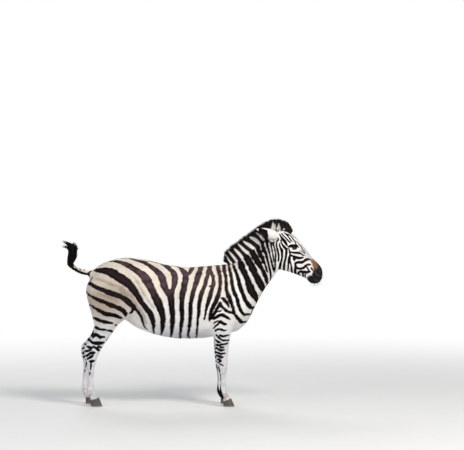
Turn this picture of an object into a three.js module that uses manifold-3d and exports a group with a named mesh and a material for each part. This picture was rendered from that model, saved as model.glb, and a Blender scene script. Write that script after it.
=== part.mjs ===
// A plains zebra mare, life size, standing square with her tail swished up and her ears laid back.
//
// Frame: millimetres, +X towards the muzzle, +Y to her left, +Z up, the four soles at z = 0.
// Flesh is lofted: a loft is a row of stations, and each station is a ring through two outline
// points in the plane y = const, one on the upper (or front) outline and one on the lower (or back)
// outline. The lofts are joined into one body, which is then parted into nodes by thin cuts.
import * as THREE from "three";
import { mergeVertices } from "three/addons/utils/BufferGeometryUtils.js";
import Module from "manifold-3d";

// ---------------------------------------------------------------- driving dimensions
const GAP = 0.6; // clear space at every cut between two nodes
const BARREL_HALF_WIDTH = 268; // the belly at its widest
const CROUP_HALF_WIDTH = 226;
const CHEST_HALF_WIDTH = 176;
const NECK_HALF_WIDTH = 78; // just behind the jaw
const FACE_HALF_WIDTH = 101; // across the eye arches
const MUZZLE_HALF_WIDTH = 57;
const FAR_FORE_SHIFT = -26; // the left legs stand a little behind the right ones
const FAR_HIND_SHIFT = -62;
const HOOF_SPLAY = 13; // how much wider a hoof is at the ground than at the coronet
const HOOF_SLOPE = 32; // how far the toe runs forwards on its way down
const EYE_RADIUS = 20;
const EYE_CENTRE = [940, 86, 1465];
const EYE_SEGMENTS = 12;
const EYE_RINGS = 8;
const EAR_ROOT = [797, 64, 1564];
const EAR_TIP = [594, 102, 1637];
const EAR_HALF_WIDTH = 47;
const EAR_ROOT_SHARE = 0.72; // how wide the ear is at its root, as a share of its widest
const EAR_CURL = [0.62, 0.32]; // how far the edges curl round, as a share of half a turn, root and tip
const EAR_WALL = [12, 4]; // thickness at the root and at the tip
const MANE_HALF_THICKNESS = 27;
const ELBOW_CUT = 715; // height where a foreleg leaves the trunk
const STIFLE_CUT = 700; // height where a hind leg leaves the quarters
const KNEE_CUT = 322; // between forearm with knee and cannon
const HOCK_CUT = 402; // between gaskin with hock and cannon
const TORSO_SIDES = 18; // flat sides of a ring
const HEAD_SIDES = 18;
const LEG_SIDES = 12;
const HOOF_SIDES = 12;
const TAIL_SIDES = 8;
const MANE_SIDES = 10;
const STEPS = 2; // rings for each station

// ---------------------------------------------------------------- stations
// [upper x, z], [lower x, z], half width, share of the way down where the ring is widest, squareness
const TORSO = [
  [-952, 1214, -955, 1120, 42, 0.5, 2.0],
  [-915, 1262, -925, 1030, 112, 0.5, 2.0],
  [-840, 1314, -855, 950, 178, 0.46, 2.1],
  [-740, 1352, -750, 875, CROUP_HALF_WIDTH - 12, 0.44, 2.2],
  [-635, 1371, -640, 800, CROUP_HALF_WIDTH + 4, 0.45, 2.2],
  [-520, 1367, -520, 716, CROUP_HALF_WIDTH + 20, 0.5, 2.15],
  [-400, 1348, -400, 668, BARREL_HALF_WIDTH - 9, 0.54, 2.15],
  [-280, 1317, -280, 636, BARREL_HALF_WIDTH, 0.56, 2.15],
  [-150, 1295, -150, 616, BARREL_HALF_WIDTH, 0.57, 2.15],
  [-20, 1288, -20, 613, BARREL_HALF_WIDTH - 8, 0.57, 2.15],
  [110, 1294, 110, 620, BARREL_HALF_WIDTH - 32, 0.56, 2.1],
  [220, 1307, 215, 637, CHEST_HALF_WIDTH + 36, 0.54, 2.1],
  [315, 1314, 325, 660, CHEST_HALF_WIDTH + 12, 0.53, 2.1],
  [385, 1322, 425, 692, CHEST_HALF_WIDTH - 4, 0.52, 2.1],
  [435, 1350, 508, 762, CHEST_HALF_WIDTH - 22, 0.5, 2.1],
  [480, 1390, 562, 866, CHEST_HALF_WIDTH - 46, 0.48, 2.1],
  [532, 1432, 612, 968, CHEST_HALF_WIDTH - 66, 0.46, 2.1],
  [585, 1474, 664, 1054, NECK_HALF_WIDTH + 18, 0.46, 2.1],
  [636, 1520, 712, 1130, NECK_HALF_WIDTH + 8, 0.46, 2.1],
  [690, 1568, 756, 1198, NECK_HALF_WIDTH, 0.46, 2.1],
  [745, 1606, 800, 1256, NECK_HALF_WIDTH - 4, 0.46, 2.1],
  [790, 1600, 850, 1300, NECK_HALF_WIDTH - 20, 0.46, 2.1],
];
const HEAD = [
  [762, 1612, 768, 1300, 50, 0.45, 2.0],
  [800, 1625, 786, 1262, 76, 0.42, 2.1],
  [850, 1620, 822, 1250, 86, 0.38, 2.2],
  [905, 1598, 862, 1241, FACE_HALF_WIDTH - 4, 0.33, 2.3],
  [958, 1560, 912, 1229, FACE_HALF_WIDTH, 0.3, 2.4],
  [1008, 1502, 962, 1209, FACE_HALF_WIDTH - 10, 0.29, 2.4],
  [1052, 1447, 1004, 1193, FACE_HALF_WIDTH - 26, 0.32, 2.3],
  [1096, 1392, 1036, 1180, MUZZLE_HALF_WIDTH + 6, 0.38, 2.2],
  [1136, 1345, 1058, 1168, MUZZLE_HALF_WIDTH - 3, 0.42, 2.2],
  [1170, 1313, 1074, 1146, MUZZLE_HALF_WIDTH - 3, 0.42, 2.3],
  [1194, 1282, 1098, 1130, MUZZLE_HALF_WIDTH + 1, 0.4, 2.3],
  [1207, 1246, 1134, 1125, MUZZLE_HALF_WIDTH, 0.42, 2.3],
  [1208, 1212, 1166, 1130, MUZZLE_HALF_WIDTH - 10, 0.45, 2.2],
  [1201, 1182, 1186, 1148, MUZZLE_HALF_WIDTH - 34, 0.5, 2.0],
];
// The legs' columns: [front x, z], [back x, z], half width, y of the ring's middle
const FORELEG = [
  [395, 1165, 275, 1175, 40, 112],
  [470, 1050, 215, 1070, 74, 114],
  [508, 930, 188, 950, 82, 118],
  [482, 838, 174, 850, 78, 121],
  [420, 762, 176, 770, 68, 122],
  [372, 700, 190, 700, 61, 121],
  [352, 630, 200, 630, 55, 119],
  [338, 540, 209, 540, 48, 117],
  [330, 455, 219, 455, 44, 115],
  [329, 395, 229, 395, 47, 114],
  [325, 350, 235, 350, 44, 113],
  [317, 300, 249, 300, 32, 112],
  [314, 215, 257, 215, 27, 112],
  [316, 158, 251, 158, 31, 112],
  [323, 124, 246, 128, 37, 112],
  [337, 96, 262, 82, 33, 112],
  [356, 70, 288, 46, 35, 112],
];
const HINDLEG = [
  [-655, 1240, -880, 1235, 42, 98],
  [-585, 1150, -970, 1150, 84, 114],
  [-548, 1050, -984, 1055, 101, 129],
  [-536, 955, -965, 962, 107, 136],
  [-548, 880, -944, 882, 101, 139],
  [-612, 808, -922, 808, 86, 138],
  [-690, 740, -908, 736, 70, 134],
  [-737, 672, -914, 676, 57, 129],
  [-780, 612, -936, 626, 48, 124],
  [-815, 562, -968, 588, 42, 119],
  [-842, 516, -998, 550, 41, 115],
  [-868, 462, -1001, 495, 43, 112],
  [-886, 415, -986, 436, 41, 110],
  [-897, 370, -970, 380, 34, 109],
  [-905, 320, -966, 325, 30, 108],
  [-909, 240, -969, 240, 28, 108],
  [-908, 178, -973, 178, 31, 108],
  [-901, 140, -980, 144, 37, 108],
  [-887, 110, -964, 96, 33, 108],
  [-866, 78, -936, 54, 35, 108],
];
// The dock's middle line with its half depth and half width
const DOCK = [
  [-880, 1232, 36, 34],
  [-930, 1230, 31, 30],
  [-985, 1230, 27, 26],
  [-1040, 1243, 25, 23],
  [-1095, 1270, 23, 21],
  [-1140, 1302, 20, 18],
];
// The brush of the tail: middle line, half depth in the side view, half thickness
const BRUSH = [
  [-1148, 1296, 22, 19],
  [-1134, 1334, 35, 25],
  [-1120, 1370, 42, 28],
  [-1109, 1415, 39, 27],
  [-1104, 1456, 31, 25],
  [-1117, 1488, 26, 22],
  [-1156, 1502, 20, 17],
  [-1206, 1500, 10, 10],
];
// The mane: [tip x, z], [root x, z] from the withers to the forelock
const MANE = [
  [288, 1352, 384, 1300],
  [292, 1424, 436, 1318],
  [345, 1474, 492, 1364],
  [420, 1526, 545, 1410],
  [500, 1584, 600, 1456],
  [580, 1640, 655, 1505],
  [650, 1692, 715, 1550],
  [722, 1724, 762, 1580],
  [798, 1732, 812, 1590],
  [862, 1708, 852, 1588],
  [908, 1668, 878, 1580],
  [930, 1618, 884, 1572],
];
const MANE_SHARE = [0.62, 0.8, 0.92, 1, 1, 1, 1, 1, 1, 0.95, 0.85, 0.6];

// ---------------------------------------------------------------- lofting
const wasm = await Module();
wasm.setup();

/** A closed mesh with merged vertices as a solid. */
function solidOf(geometry) {
  const bare = geometry.clone();
  for (const name of Object.keys(bare.attributes)) if (name !== "position") bare.deleteAttribute(name);
  const merged = mergeVertices(bare, 1e-4);
  return new wasm.Manifold(
    new wasm.Mesh({
      numProp: 3,
      vertProperties: new Float32Array(merged.attributes.position.array),
      triVerts: new Uint32Array(merged.index.array),
    }),
  );
}

/** A solid as a three.js geometry with flat faces. */
function geometryOf(solid) {
  const mesh = solid.getMesh();
  const stride = mesh.numProp;
  const position = new Float32Array(mesh.numVert * 3);
  for (let i = 0; i < mesh.numVert; i++)
    position.set(mesh.vertProperties.subarray(i * stride, i * stride + 3), i * 3);
  const indexed = new THREE.BufferGeometry()
    .setAttribute("position", new THREE.BufferAttribute(position, 3))
    .setIndex(new THREE.BufferAttribute(mesh.triVerts, 1));
  const flat = indexed.toNonIndexed();
  flat.computeVertexNormals();
  return flat;
}

/** Rows between the given ones, each column on a Catmull-Rom curve through its values. */
function refine(rows, steps) {
  const last = rows.length - 1;
  const fine = [];
  for (let i = 0; i < last; i++) {
    const [a, b, c, d] = [rows[Math.max(i - 1, 0)], rows[i], rows[i + 1], rows[Math.min(i + 2, last)]];
    for (let s = 0; s < steps; s++) {
      const t = s / steps;
      fine.push(
        b.map((_, k) =>
          0.5 *
          (2 * b[k] +
            (c[k] - a[k]) * t +
            (2 * a[k] - 5 * b[k] + 4 * c[k] - d[k]) * t * t +
            (3 * b[k] - a[k] - 3 * c[k] + d[k]) * t * t * t),
        ),
      );
    }
  }
  fine.push(rows[last]);
  return fine;
}

/** Skins closed rings of equal count into a solid, with a flat fan over each end ring. */
function skin(rings) {
  const sides = rings[0].length;
  const middle = (ring) => ring.reduce((sum, p) => sum.add(p), new THREE.Vector3()).divideScalar(sides);
  const points = rings.flat();
  const first = points.push(middle(rings[0])) - 1;
  const last = points.push(middle(rings.at(-1))) - 1;
  const faces = [];
  for (let r = 0; r < rings.length - 1; r++)
    for (let s = 0; s < sides; s++) {
      const [a, b] = [r * sides + s, r * sides + ((s + 1) % sides)];
      faces.push(a, b, b + sides, a, b + sides, a + sides);
    }
  const end = (rings.length - 1) * sides;
  for (let s = 0; s < sides; s++) {
    faces.push(first, (s + 1) % sides, s);
    faces.push(last, end + s, end + ((s + 1) % sides));
  }
  const geometry = new THREE.BufferGeometry().setFromPoints(points).setIndex(faces);
  const made = solidOf(geometry);
  if (made.volume() > 0) return made;
  for (let i = 0; i < faces.length; i += 3) [faces[i + 1], faces[i + 2]] = [faces[i + 2], faces[i + 1]];
  return solidOf(geometry.setIndex(faces));
}

/** A superellipse ring through an upper and a lower outline point, widest `share` of the way down. */
function ring([ux, uz, lx, lz, half, share, power], y, sides, grow = 0) {
  const down = new THREE.Vector3(lx - ux, 0, lz - uz);
  const length = down.length();
  down.normalize();
  const round = (value) => Math.sign(value) * Math.abs(value) ** (2 / power);
  return Array.from({ length: sides }, (_, i) => {
    const turn = ((i + 0.5) / sides) * 2 * Math.PI;
    const [across, along] = [round(Math.sin(turn)), round(-Math.cos(turn))];
    const reach = along < 0 ? share * length : (1 - share) * length;
    const depth = share * length + along * (reach + grow);
    return new THREE.Vector3(ux + down.x * depth, y + across * (half + grow), uz + down.z * depth);
  });
}

/** A loft of stations that lie across the middle plane. */
function bodyLoft(rows, sides, grow) {
  return skin(refine(rows, STEPS).map((row) => ring(row, 0, sides, grow)));
}

/** A leg's loft on one side (+1 left, -1 right), moved along x by `shift` as it nears the ground. */
function legLoft(rows, side, shift, grow = 0) {
  const [top, bottom] = [rows[2][1], 200];
  return skin(
    refine(rows, STEPS).map(([fx, fz, bx, bz, half, y]) => {
      const share = THREE.MathUtils.clamp((top - (fz + bz) / 2) / (top - bottom), 0, 1);
      const slide = shift * THREE.MathUtils.smoothstep(share, 0, 1);
      return ring([fx + slide, fz, bx + slide, bz, half, 0.5, 2.1], side * y, LEG_SIDES, grow);
    }),
  );
}

/** A loft along a middle line in the plane y = 0, with a half depth and a half width at each row. */
function pathLoft(rows, sides, grow = 0) {
  const fine = refine(rows, STEPS);
  return skin(
    fine.map(([x, z, depth, half], i) => {
      const [from, to] = [fine[Math.max(i - 1, 0)], fine[Math.min(i + 1, fine.length - 1)]];
      const along = new THREE.Vector2(to[0] - from[0], to[1] - from[1]).normalize();
      const [nx, nz] = [-along.y * depth, along.x * depth];
      return ring([x + nx, z + nz, x - nx, z - nz, half, 0.5, 2], 0, sides, grow);
    }),
  );
}

/** The part of a solid on the side of a plane that its normal points to; a point lies on the plane. */
function keep(solid, normal, point, clear = GAP / 2) {
  const n = new THREE.Vector3(...normal).normalize();
  return solid.trimByPlane(n.toArray(), n.dot(new THREE.Vector3(...point)) + clear);
}
const flip = (v) => v.map((x) => -x);

/** The largest piece of a solid, without the splinters that a cut can leave. */
const mainPiece = (solid) => solid.decompose().sort((a, b) => b.volume() - a.volume())[0];

// ---------------------------------------------------------------- the body and its limbs
const UP = [0, 0, 1];
const LEGS = [
  { name: "foreleg_right", rows: FORELEG, side: -1, shift: 0, cut: ELBOW_CUT, joint: KNEE_CUT },
  { name: "foreleg_left", rows: FORELEG, side: 1, shift: FAR_FORE_SHIFT, cut: ELBOW_CUT, joint: KNEE_CUT },
  { name: "hindleg_right", rows: HINDLEG, side: -1, shift: 0, cut: STIFLE_CUT, joint: HOCK_CUT },
  { name: "hindleg_left", rows: HINDLEG, side: 1, shift: FAR_HIND_SHIFT, cut: STIFLE_CUT, joint: HOCK_CUT },
];
const nodes = {};

let body = bodyLoft(TORSO, TORSO_SIDES).add(bodyLoft(HEAD, HEAD_SIDES));
for (const leg of LEGS) {
  const at = [0, 0, leg.cut];
  body = body.add(keep(legLoft(leg.rows, leg.side, leg.shift), UP, at));
  body = body.subtract(keep(legLoft(leg.rows, leg.side, leg.shift, GAP), flip(UP), at, -GAP / 2));
}

// Each leg is parted above the cannon, and ends at the coronet on top of its hoof.
for (const leg of LEGS) {
  const whole = legLoft(leg.rows, leg.side, leg.shift);
  const free = keep(whole, flip(UP), [0, 0, leg.cut]);
  nodes[`${leg.name}_upper`] = keep(free, UP, [0, 0, leg.joint]);
  nodes[`${leg.name}_cannon`] = keep(free, flip(UP), [0, 0, leg.joint]);
}

/** A hoof under a leg's last station: its wall runs on down the pastern's slope to a flat sole. */
function hoof(leg) {
  const [fx, fz, bx, bz, half, y] = leg.rows.at(-1);
  const slide = leg.shift;
  const rise = (fz - bz) / (fx - bx); // the coronet's slope, seen from the side
  const [lip, heel] = [3, 2]; // how far the horn stands out in front of the hair and behind it
  /** A ring of the wall, `front` ahead of the hair's edge; `down` is the share of the way down. */
  const band = (front, frontHeight, backHeight, down) => {
    const wide = half + lip + HOOF_SPLAY * down;
    const row = [fx + slide + front, frontHeight, bx + slide - heel, backHeight, wide, 0.5, 2.2];
    return ring(row, leg.side * y, HOOF_SIDES);
  };
  const top = 2 * GAP; // below the hair
  return skin([
    band(lip, fz + lip * rise - top, bz - heel * rise - top, 0),
    band(HOOF_SLOPE / 2, fz / 2, bz / 2, 0.6),
    band(HOOF_SLOPE, 0, 0, 1),
  ]);
}
for (const leg of LEGS) nodes[`hoof_${leg.name}`] = hoof(leg);

// The tail: the dock leaves the quarters between the seat bones, and carries the brush at its end.
const dock = pathLoft(DOCK, TAIL_SIDES);
const dockRoot = [-962, 0, 1226];
const REAR = [-1, 0, 0];
body = body.add(keep(dock, flip(REAR), dockRoot, 0));
body = body.subtract(keep(pathLoft(DOCK, TAIL_SIDES, GAP), REAR, dockRoot, 0));
nodes.tail_dock = keep(dock, REAR, dockRoot, GAP);
nodes.tail_brush = pathLoft(BRUSH, TAIL_SIDES).subtract(pathLoft(DOCK, TAIL_SIDES, GAP));

// The eyes sit in round sockets.
function eyeBall(side, radius) {
  const [x, y, z] = EYE_CENTRE;
  return solidOf(new THREE.SphereGeometry(radius, EYE_SEGMENTS, EYE_RINGS)).translate([x, side * y, z]);
}
for (const side of [-1, 1]) {
  body = body.subtract(eyeBall(side, EYE_RADIUS + GAP));
  nodes[side < 0 ? "eye_right" : "eye_left"] = eyeBall(side, EYE_RADIUS);
}

/** An ear laid back along the neck: a pointed cup, closed towards the skull, open downwards and out. */
function ear(side, grow = 0) {
  const root = new THREE.Vector3(EAR_ROOT[0], side * EAR_ROOT[1], EAR_ROOT[2]);
  const tip = new THREE.Vector3(EAR_TIP[0], side * EAR_TIP[1], EAR_TIP[2]);
  const along = tip.clone().sub(root).normalize();
  const out = new THREE.Vector3(0, side, 0);
  out.addScaledVector(along, -out.dot(along)).normalize();
  const up = new THREE.Vector3().crossVectors(along, out).multiplyScalar(-side);
  const [steps, arc, depth] = [7, 6, 0.62]; // rings, points across each face, how deep the cup is
  const rings = Array.from({ length: steps + 1 }, (_, i) => {
    const t = i / steps;
    const swell = THREE.MathUtils.lerp(EAR_ROOT_SHARE, 1, Math.sin((Math.PI / 2) * Math.min(t / 0.45, 1)));
    const half = EAR_HALF_WIDTH * swell * Math.max(1 - t ** 3, 0.16) ** 0.75;
    const centre = root.clone().lerp(tip, t);
    const wall = THREE.MathUtils.lerp(...EAR_WALL, t) + grow;
    const curl = Math.PI * THREE.MathUtils.lerp(...EAR_CURL, t);
    const face = (reach) =>
      Array.from({ length: arc }, (_, k) => {
        const turn = curl * ((2 * k) / (arc - 1) - 1);
        const across = Math.sin(turn) * (half + reach);
        const deep = Math.cos(turn) * (half * depth + reach);
        return centre.clone().addScaledVector(up, across).addScaledVector(out, deep);
      });
    return [...face(grow), ...face(-wall).reverse()];
  });
  return skin(rings);
}
for (const side of [-1, 1]) nodes[side < 0 ? "ear_right" : "ear_left"] = mainPiece(ear(side).subtract(body));

// The mane stands up from the crest of the neck and ends in the forelock between the ears.
const maneRow = ([tx, tz, rx, rz], i) => [tx, tz, rx, rz, MANE_HALF_THICKNESS * MANE_SHARE[i], 0.72, 2.4];
let mane = bodyLoft(MANE.map(maneRow), MANE_SIDES);
mane = mane.subtract(bodyLoft(TORSO, TORSO_SIDES, GAP)).subtract(bodyLoft(HEAD, HEAD_SIDES, GAP));
for (const side of [-1, 1]) mane = mane.subtract(ear(side, GAP));
mane = mainPiece(mane);
const POLL = { normal: [1, 0, 0.12], point: [764, 0, 1560] };
nodes.mane = keep(mane, flip(POLL.normal), POLL.point);
nodes.forelock = keep(mane, POLL.normal, POLL.point);

// The body's own cuts: behind the jaw, in front of the shoulder, and in front of the stifle.
const SHOULDER = { normal: [0.86, 0, 0.51], point: [470, 0, 1130] };
const FLANK = { normal: [1, 0, 0], point: [-505, 0, 1000] };
nodes.head = keep(body, POLL.normal, POLL.point);
const behindHead = keep(body, flip(POLL.normal), POLL.point);
nodes.neck = keep(behindHead, SHOULDER.normal, SHOULDER.point);
const barrel = keep(behindHead, flip(SHOULDER.normal), SHOULDER.point);
nodes.trunk = keep(barrel, FLANK.normal, FLANK.point);
nodes.hindquarters = keep(barrel, flip(FLANK.normal), FLANK.point);

// ---------------------------------------------------------------- the scene graph
/** A matte or glossy finish by name. */
function finish(name, color, roughness) {
  return new THREE.MeshStandardMaterial({ name, color, roughness, metalness: 0 });
}
const FINISHES = [
  { nodes: /^hoof/, material: finish("hoof_horn", 0x4a4440, 0.6) },
  { nodes: /^eye/, material: finish("eye", 0x120a06, 0.1) },
  { nodes: /mane|forelock|brush/, material: finish("dark_hair", 0x17110f, 0.9) },
  { nodes: /./, material: finish("coat", 0xcbb9a2, 0.85) },
];
const finishOf = (name) => FINISHES.find((row) => row.nodes.test(name)).material;

const zebra = new THREE.Group();
for (const [name, solid] of Object.entries(nodes)) {
  const mesh = new THREE.Mesh(geometryOf(mainPiece(solid)), finishOf(name));
  mesh.name = name;
  zebra.add(mesh);
}
// The frame's origin is on the ground under the middle of the whole length, brush to muzzle.
const reach = new THREE.Box3().setFromObject(zebra);
zebra.position.x = -(reach.min.x + reach.max.x) / 2;

export default zebra;
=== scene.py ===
"""Looks of a plains zebra that stands square with its tail swished up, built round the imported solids.

The solids of flesh are joined, remeshed and smoothed into one skin, which is sculpted, marked with
stripes and covered with a short coat of tufts. The mane, the forelock and the tail's brush are locks
of long hair. Tables of places are in millimetres, as the solids were drawn; meshes are in metres.
"""

import logging
import math
from dataclasses import dataclass, field
from enum import Enum

import bmesh
import bpy
import numpy as np
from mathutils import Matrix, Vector
from mathutils.bvhtree import BVHTree


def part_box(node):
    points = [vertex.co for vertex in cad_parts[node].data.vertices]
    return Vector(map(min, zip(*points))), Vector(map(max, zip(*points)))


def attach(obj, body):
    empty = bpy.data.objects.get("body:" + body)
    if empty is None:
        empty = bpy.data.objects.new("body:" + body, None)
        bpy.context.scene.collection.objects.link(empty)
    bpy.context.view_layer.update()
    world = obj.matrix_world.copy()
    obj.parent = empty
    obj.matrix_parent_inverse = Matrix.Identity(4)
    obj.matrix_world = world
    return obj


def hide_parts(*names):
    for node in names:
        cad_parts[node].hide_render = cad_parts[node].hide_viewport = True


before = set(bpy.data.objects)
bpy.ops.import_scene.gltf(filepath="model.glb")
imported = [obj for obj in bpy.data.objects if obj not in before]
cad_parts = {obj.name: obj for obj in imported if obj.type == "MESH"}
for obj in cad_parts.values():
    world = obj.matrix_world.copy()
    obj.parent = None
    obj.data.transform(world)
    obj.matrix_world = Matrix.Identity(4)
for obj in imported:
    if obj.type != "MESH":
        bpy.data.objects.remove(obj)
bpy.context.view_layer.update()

LOG = logging.getLogger("zebra")
Array = np.ndarray
Colour = tuple[float, float, float]
Marks = tuple[tuple[float, float, float], ...]
Pairs = tuple[tuple[float, float], ...]

MM = 0.001
NOSE_TIP_X = 1208.0  # the front of the nose in the tables' millimetres
ORIGIN_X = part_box("head")[1].x - NOSE_TIP_X * MM  # where the tables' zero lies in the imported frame
ORIGIN = np.array((ORIGIN_X, 0.0, 0.0))
SEED = 11
FAR = 40.0  # stands for no mark near, in millimetres
ABOVE, BELOW = 2000.0, 100.0  # heights that rays come from, down onto the back or up onto the belly
UV_MAP, UNWRAP = "OFBake", "unwrap"
TUFT_PATCH, LOCK_PATCH = 0.003, 0.006  # size of a tuft's and of a lock's patch on the UV map
ALL_DARK = -30.0  # how far inside its pale locks dark hair lies
IN_EAR = 14.0  # distance to the marks that is stored in the cups of the ears
ON_EAR = 0.03  # share of an ear's length from which the hair follows it


class Side(Enum):
    """The animal's two sides, by the sign of y."""

    RIGHT = -1
    LEFT = 1

    @property
    def flip(self) -> Array:
        """What places drawn on the left side are multiplied by."""
        return np.array((1.0, self.value, 1.0))


# ---------------------------------------------------------------- arrays
def place(points: Array) -> Array:
    """Points of the tables, in millimetres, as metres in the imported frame."""
    return np.asarray(points, float) * MM + ORIGIN


def table_mm(points: Array) -> Array:
    """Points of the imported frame, in metres, as the tables' millimetres."""
    return (points - ORIGIN) / MM


def unit(vectors: Array) -> Array:
    """Vectors of length one along the last axis."""
    return vectors / np.maximum(np.linalg.norm(vectors, axis=-1, keepdims=True), 1e-12)


def step(low: float, high: float, x: Array) -> Array:
    """A smooth step from 0 at low to 1 at high; falls where low is above high."""
    t = np.clip((np.asarray(x, float) - low) / (high - low), 0.0, 1.0)
    return t * t * (3.0 - 2.0 * t)


def bell(x: Array, width: float) -> Array:
    """A bell curve: 1 where x is 0, and 1/e where it is a width away."""
    return np.exp(-((x / width) ** 2))


def mirrored(p: Array) -> Array:
    """Places with y as the distance from the middle plane, so that both sides are one."""
    return p * (1, 0, 1) + np.abs(p) * (0, 1, 0)


def columns(*values: Array | float) -> Array:
    """Rows from their columns; a single number serves all rows."""
    return np.stack(np.broadcast_arrays(*values), axis=1)


def layered(base: Array, *layers: tuple[Array | tuple[float, ...], Array]) -> Array:
    """Rows of one value, with each layer's value laid over them by its share at every row."""
    for value, share in layers:
        base = blend(base, value, share)
    return base


def blend(a: Array, b: Array, share: Array) -> Array:
    """Rows of a turned into b by a share for each row."""
    return a + (b - a) * np.asarray(share)[..., None]


def ripple(points: Array, length: float, seed: int) -> Array:
    """A smooth uneven value between about -1 and 1: the mean of six plane waves of like length.

    Args:
        points: places, n by 3.
        length: length of the waves, in the places' unit.
        seed: picks the waves.

    Returns:
        One value for each place.
    """
    rng = np.random.default_rng(seed)
    ways = unit(rng.normal(size=(6, 3))) * (2 * np.pi / length) * rng.uniform(0.7, 1.5, (6, 1))
    phases = rng.uniform(0, 2 * np.pi, 6)
    return np.sin(points @ ways.T + phases).sum(axis=1) / 3.0


def curve(rows: Array, spacing: float) -> Array:
    """A Catmull-Rom curve through rows of numbers, sampled evenly by the length of its first columns.

    Each piece between two rows is the usual cubic of its four neighbours; the samples are then
    spaced by the running length over all columns but the last.

    Args:
        rows: the rows passed through, n by k, whose last column is a width.
        spacing: distance between two samples.

    Returns:
        The samples, m by k.
    """
    rows = np.asarray(rows, float)
    if len(rows) > 2:
        padded = np.vstack((2 * rows[0] - rows[1], rows, 2 * rows[-1] - rows[-2]))
        a, b, c, d = (padded[i : len(padded) - 3 + i, None, :] for i in range(4))
        t = np.linspace(0, 1, 9)[None, :-1, None]
        bent = (c - a) * t + (2 * a - 5 * b + 4 * c - d) * t**2 + (3 * b - a - 3 * c + d) * t**3
        rows = np.vstack(((b + bent / 2).reshape(-1, rows.shape[1]), rows[-1]))
    run = np.append(0.0, np.cumsum(np.linalg.norm(np.diff(rows[:, :-1], axis=0), axis=1)))
    places = np.linspace(0, run[-1], max(int(round(run[-1] / spacing)), 1) + 1)
    return sampled(places, run, rows)


def sampled(places: Array, run: Array, rows: Array) -> Array:
    """Every column of the rows, which lie at the numbers of run, read off at other numbers."""
    return np.stack([np.interp(places, run, column) for column in np.asarray(rows, float).T], axis=1)


def linear(colour: Colour) -> Array:
    """A colour of 0 to 255 steps on the screen as linear light."""
    value = np.asarray(colour, float) / 255.0
    return np.where(value <= 0.04045, value / 12.92, ((value + 0.055) / 1.055) ** 2.4)


def line_distance(points: Array, line: Array) -> Array:
    """Distance from points to the tapered tube round a line: to its middle, less its radius there.

    Args:
        points: n by 3.
        line: k by 4, places with a radius.

    Returns:
        n distances, below zero inside the tube.
    """
    start, along = line[None, :-1, :3], np.diff(line[:, :3], axis=0)[None]
    radius, grow = line[None, :-1, 3], np.diff(line[:, 3])[None]
    away = points[:, None, :] - start
    share = np.clip((away * along).sum(-1) / np.maximum((along**2).sum(-1), 1e-12), 0, 1)
    gap = np.linalg.norm(away - share[..., None] * along, axis=-1)
    return (gap - radius - share * grow).min(axis=1)


def near(points: Array, line: Array, reach: float) -> Array:
    """Numbers of the points in the box of a line, grown by a reach."""
    low, high = line[:, :3].min(axis=0) - reach, line[:, :3].max(axis=0) + reach
    return np.flatnonzero(((points >= low) & (points <= high)).all(axis=1))


# ---------------------------------------------------------------- meshes
def fetched(items: bpy.types.bpy_prop_collection, name: str, width: int = 1, kind: type = float) -> Array:
    """One property of all items of a mesh.

    Args:
        items: the vertices, edges, loops or the like.
        name: the property's name.
        width: how many numbers each item has.
        kind: type of the numbers.

    Returns:
        n numbers, or n by width.
    """
    flat = np.empty(len(items) * width, dtype=kind)
    items.foreach_get(name, flat)
    return flat.reshape(-1, width) if width > 1 else flat


def read_points(mesh: bpy.types.Mesh) -> Array:
    """The vertices of a mesh as an n by 3 array."""
    return fetched(mesh.vertices, "co", 3)


def write_points(mesh: bpy.types.Mesh, points: Array) -> None:
    """Puts an array of places into a mesh's vertices."""
    mesh.vertices.foreach_set("co", points.astype(np.float32).ravel())
    mesh.update()


def read_normals(mesh: bpy.types.Mesh) -> Array:
    """The vertex normals of a mesh as an n by 3 array."""
    return fetched(mesh.vertex_normals, "vector", 3)


def read_triangles(mesh: bpy.types.Mesh) -> tuple[Array, Array]:
    """The vertices of each triangle of a mesh, and its loops, both m by 3."""
    mesh.calc_loop_triangles()
    return tuple(fetched(mesh.loop_triangles, name, 3, np.int32) for name in ("vertices", "loops"))


def write_attributes(mesh: bpy.types.Mesh, values: dict[str, Array]) -> None:
    """Stores values of the vertices on a mesh.

    Args:
        mesh: the mesh.
        values: a number or a colour for each vertex, under each name.
    """
    for name, value in values.items():
        if value.ndim == 1:
            mesh.attributes.new(name, "FLOAT", "POINT").data.foreach_set("value", value.astype(np.float32))
        else:
            full = np.column_stack((value, np.ones(len(value)))).astype(np.float32)
            mesh.color_attributes.new(name, "FLOAT_COLOR", "POINT").data.foreach_set("color", full.ravel())


def linked(name: str, data: bpy.types.ID) -> bpy.types.Object:
    """A new object in the scene."""
    made = bpy.data.objects.new(name, data)
    bpy.context.scene.collection.objects.link(made)
    return made


def build_piece(name: str, points: Array, faces: Array, material: bpy.types.Material,
                **values: Array) -> bpy.types.Object:
    """A smooth-shaded mesh object from arrays.

    Args:
        name: the object's name.
        points: vertices, n by 3.
        faces: triangles or quads, m by 3 or 4.
        material: its finish.
        values: numbers or colours for each vertex.

    Returns:
        The object, linked to the scene.
    """
    mesh = bpy.data.meshes.new(name)
    mesh.vertices.add(len(points))
    mesh.vertices.foreach_set("co", points.astype(np.float32).ravel())
    mesh.loops.add(faces.size)
    mesh.loops.foreach_set("vertex_index", faces.astype(np.int32).ravel())
    mesh.polygons.add(len(faces))
    mesh.polygons.foreach_set("loop_start", np.arange(0, faces.size, faces.shape[1], dtype=np.int32))
    mesh.update(calc_edges=True)
    mesh.shade_smooth()
    write_attributes(mesh, values)
    mesh.materials.append(material)
    return linked(name, mesh)


def soften(mesh: bpy.types.Mesh, share: float, ways: Array) -> None:
    """Turns the shading normals of hair towards the ways of what lies under it, which get the rest of a share."""
    mesh.normals_split_custom_set_from_vertices(unit(read_normals(mesh) * share + ways).tolist())


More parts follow.
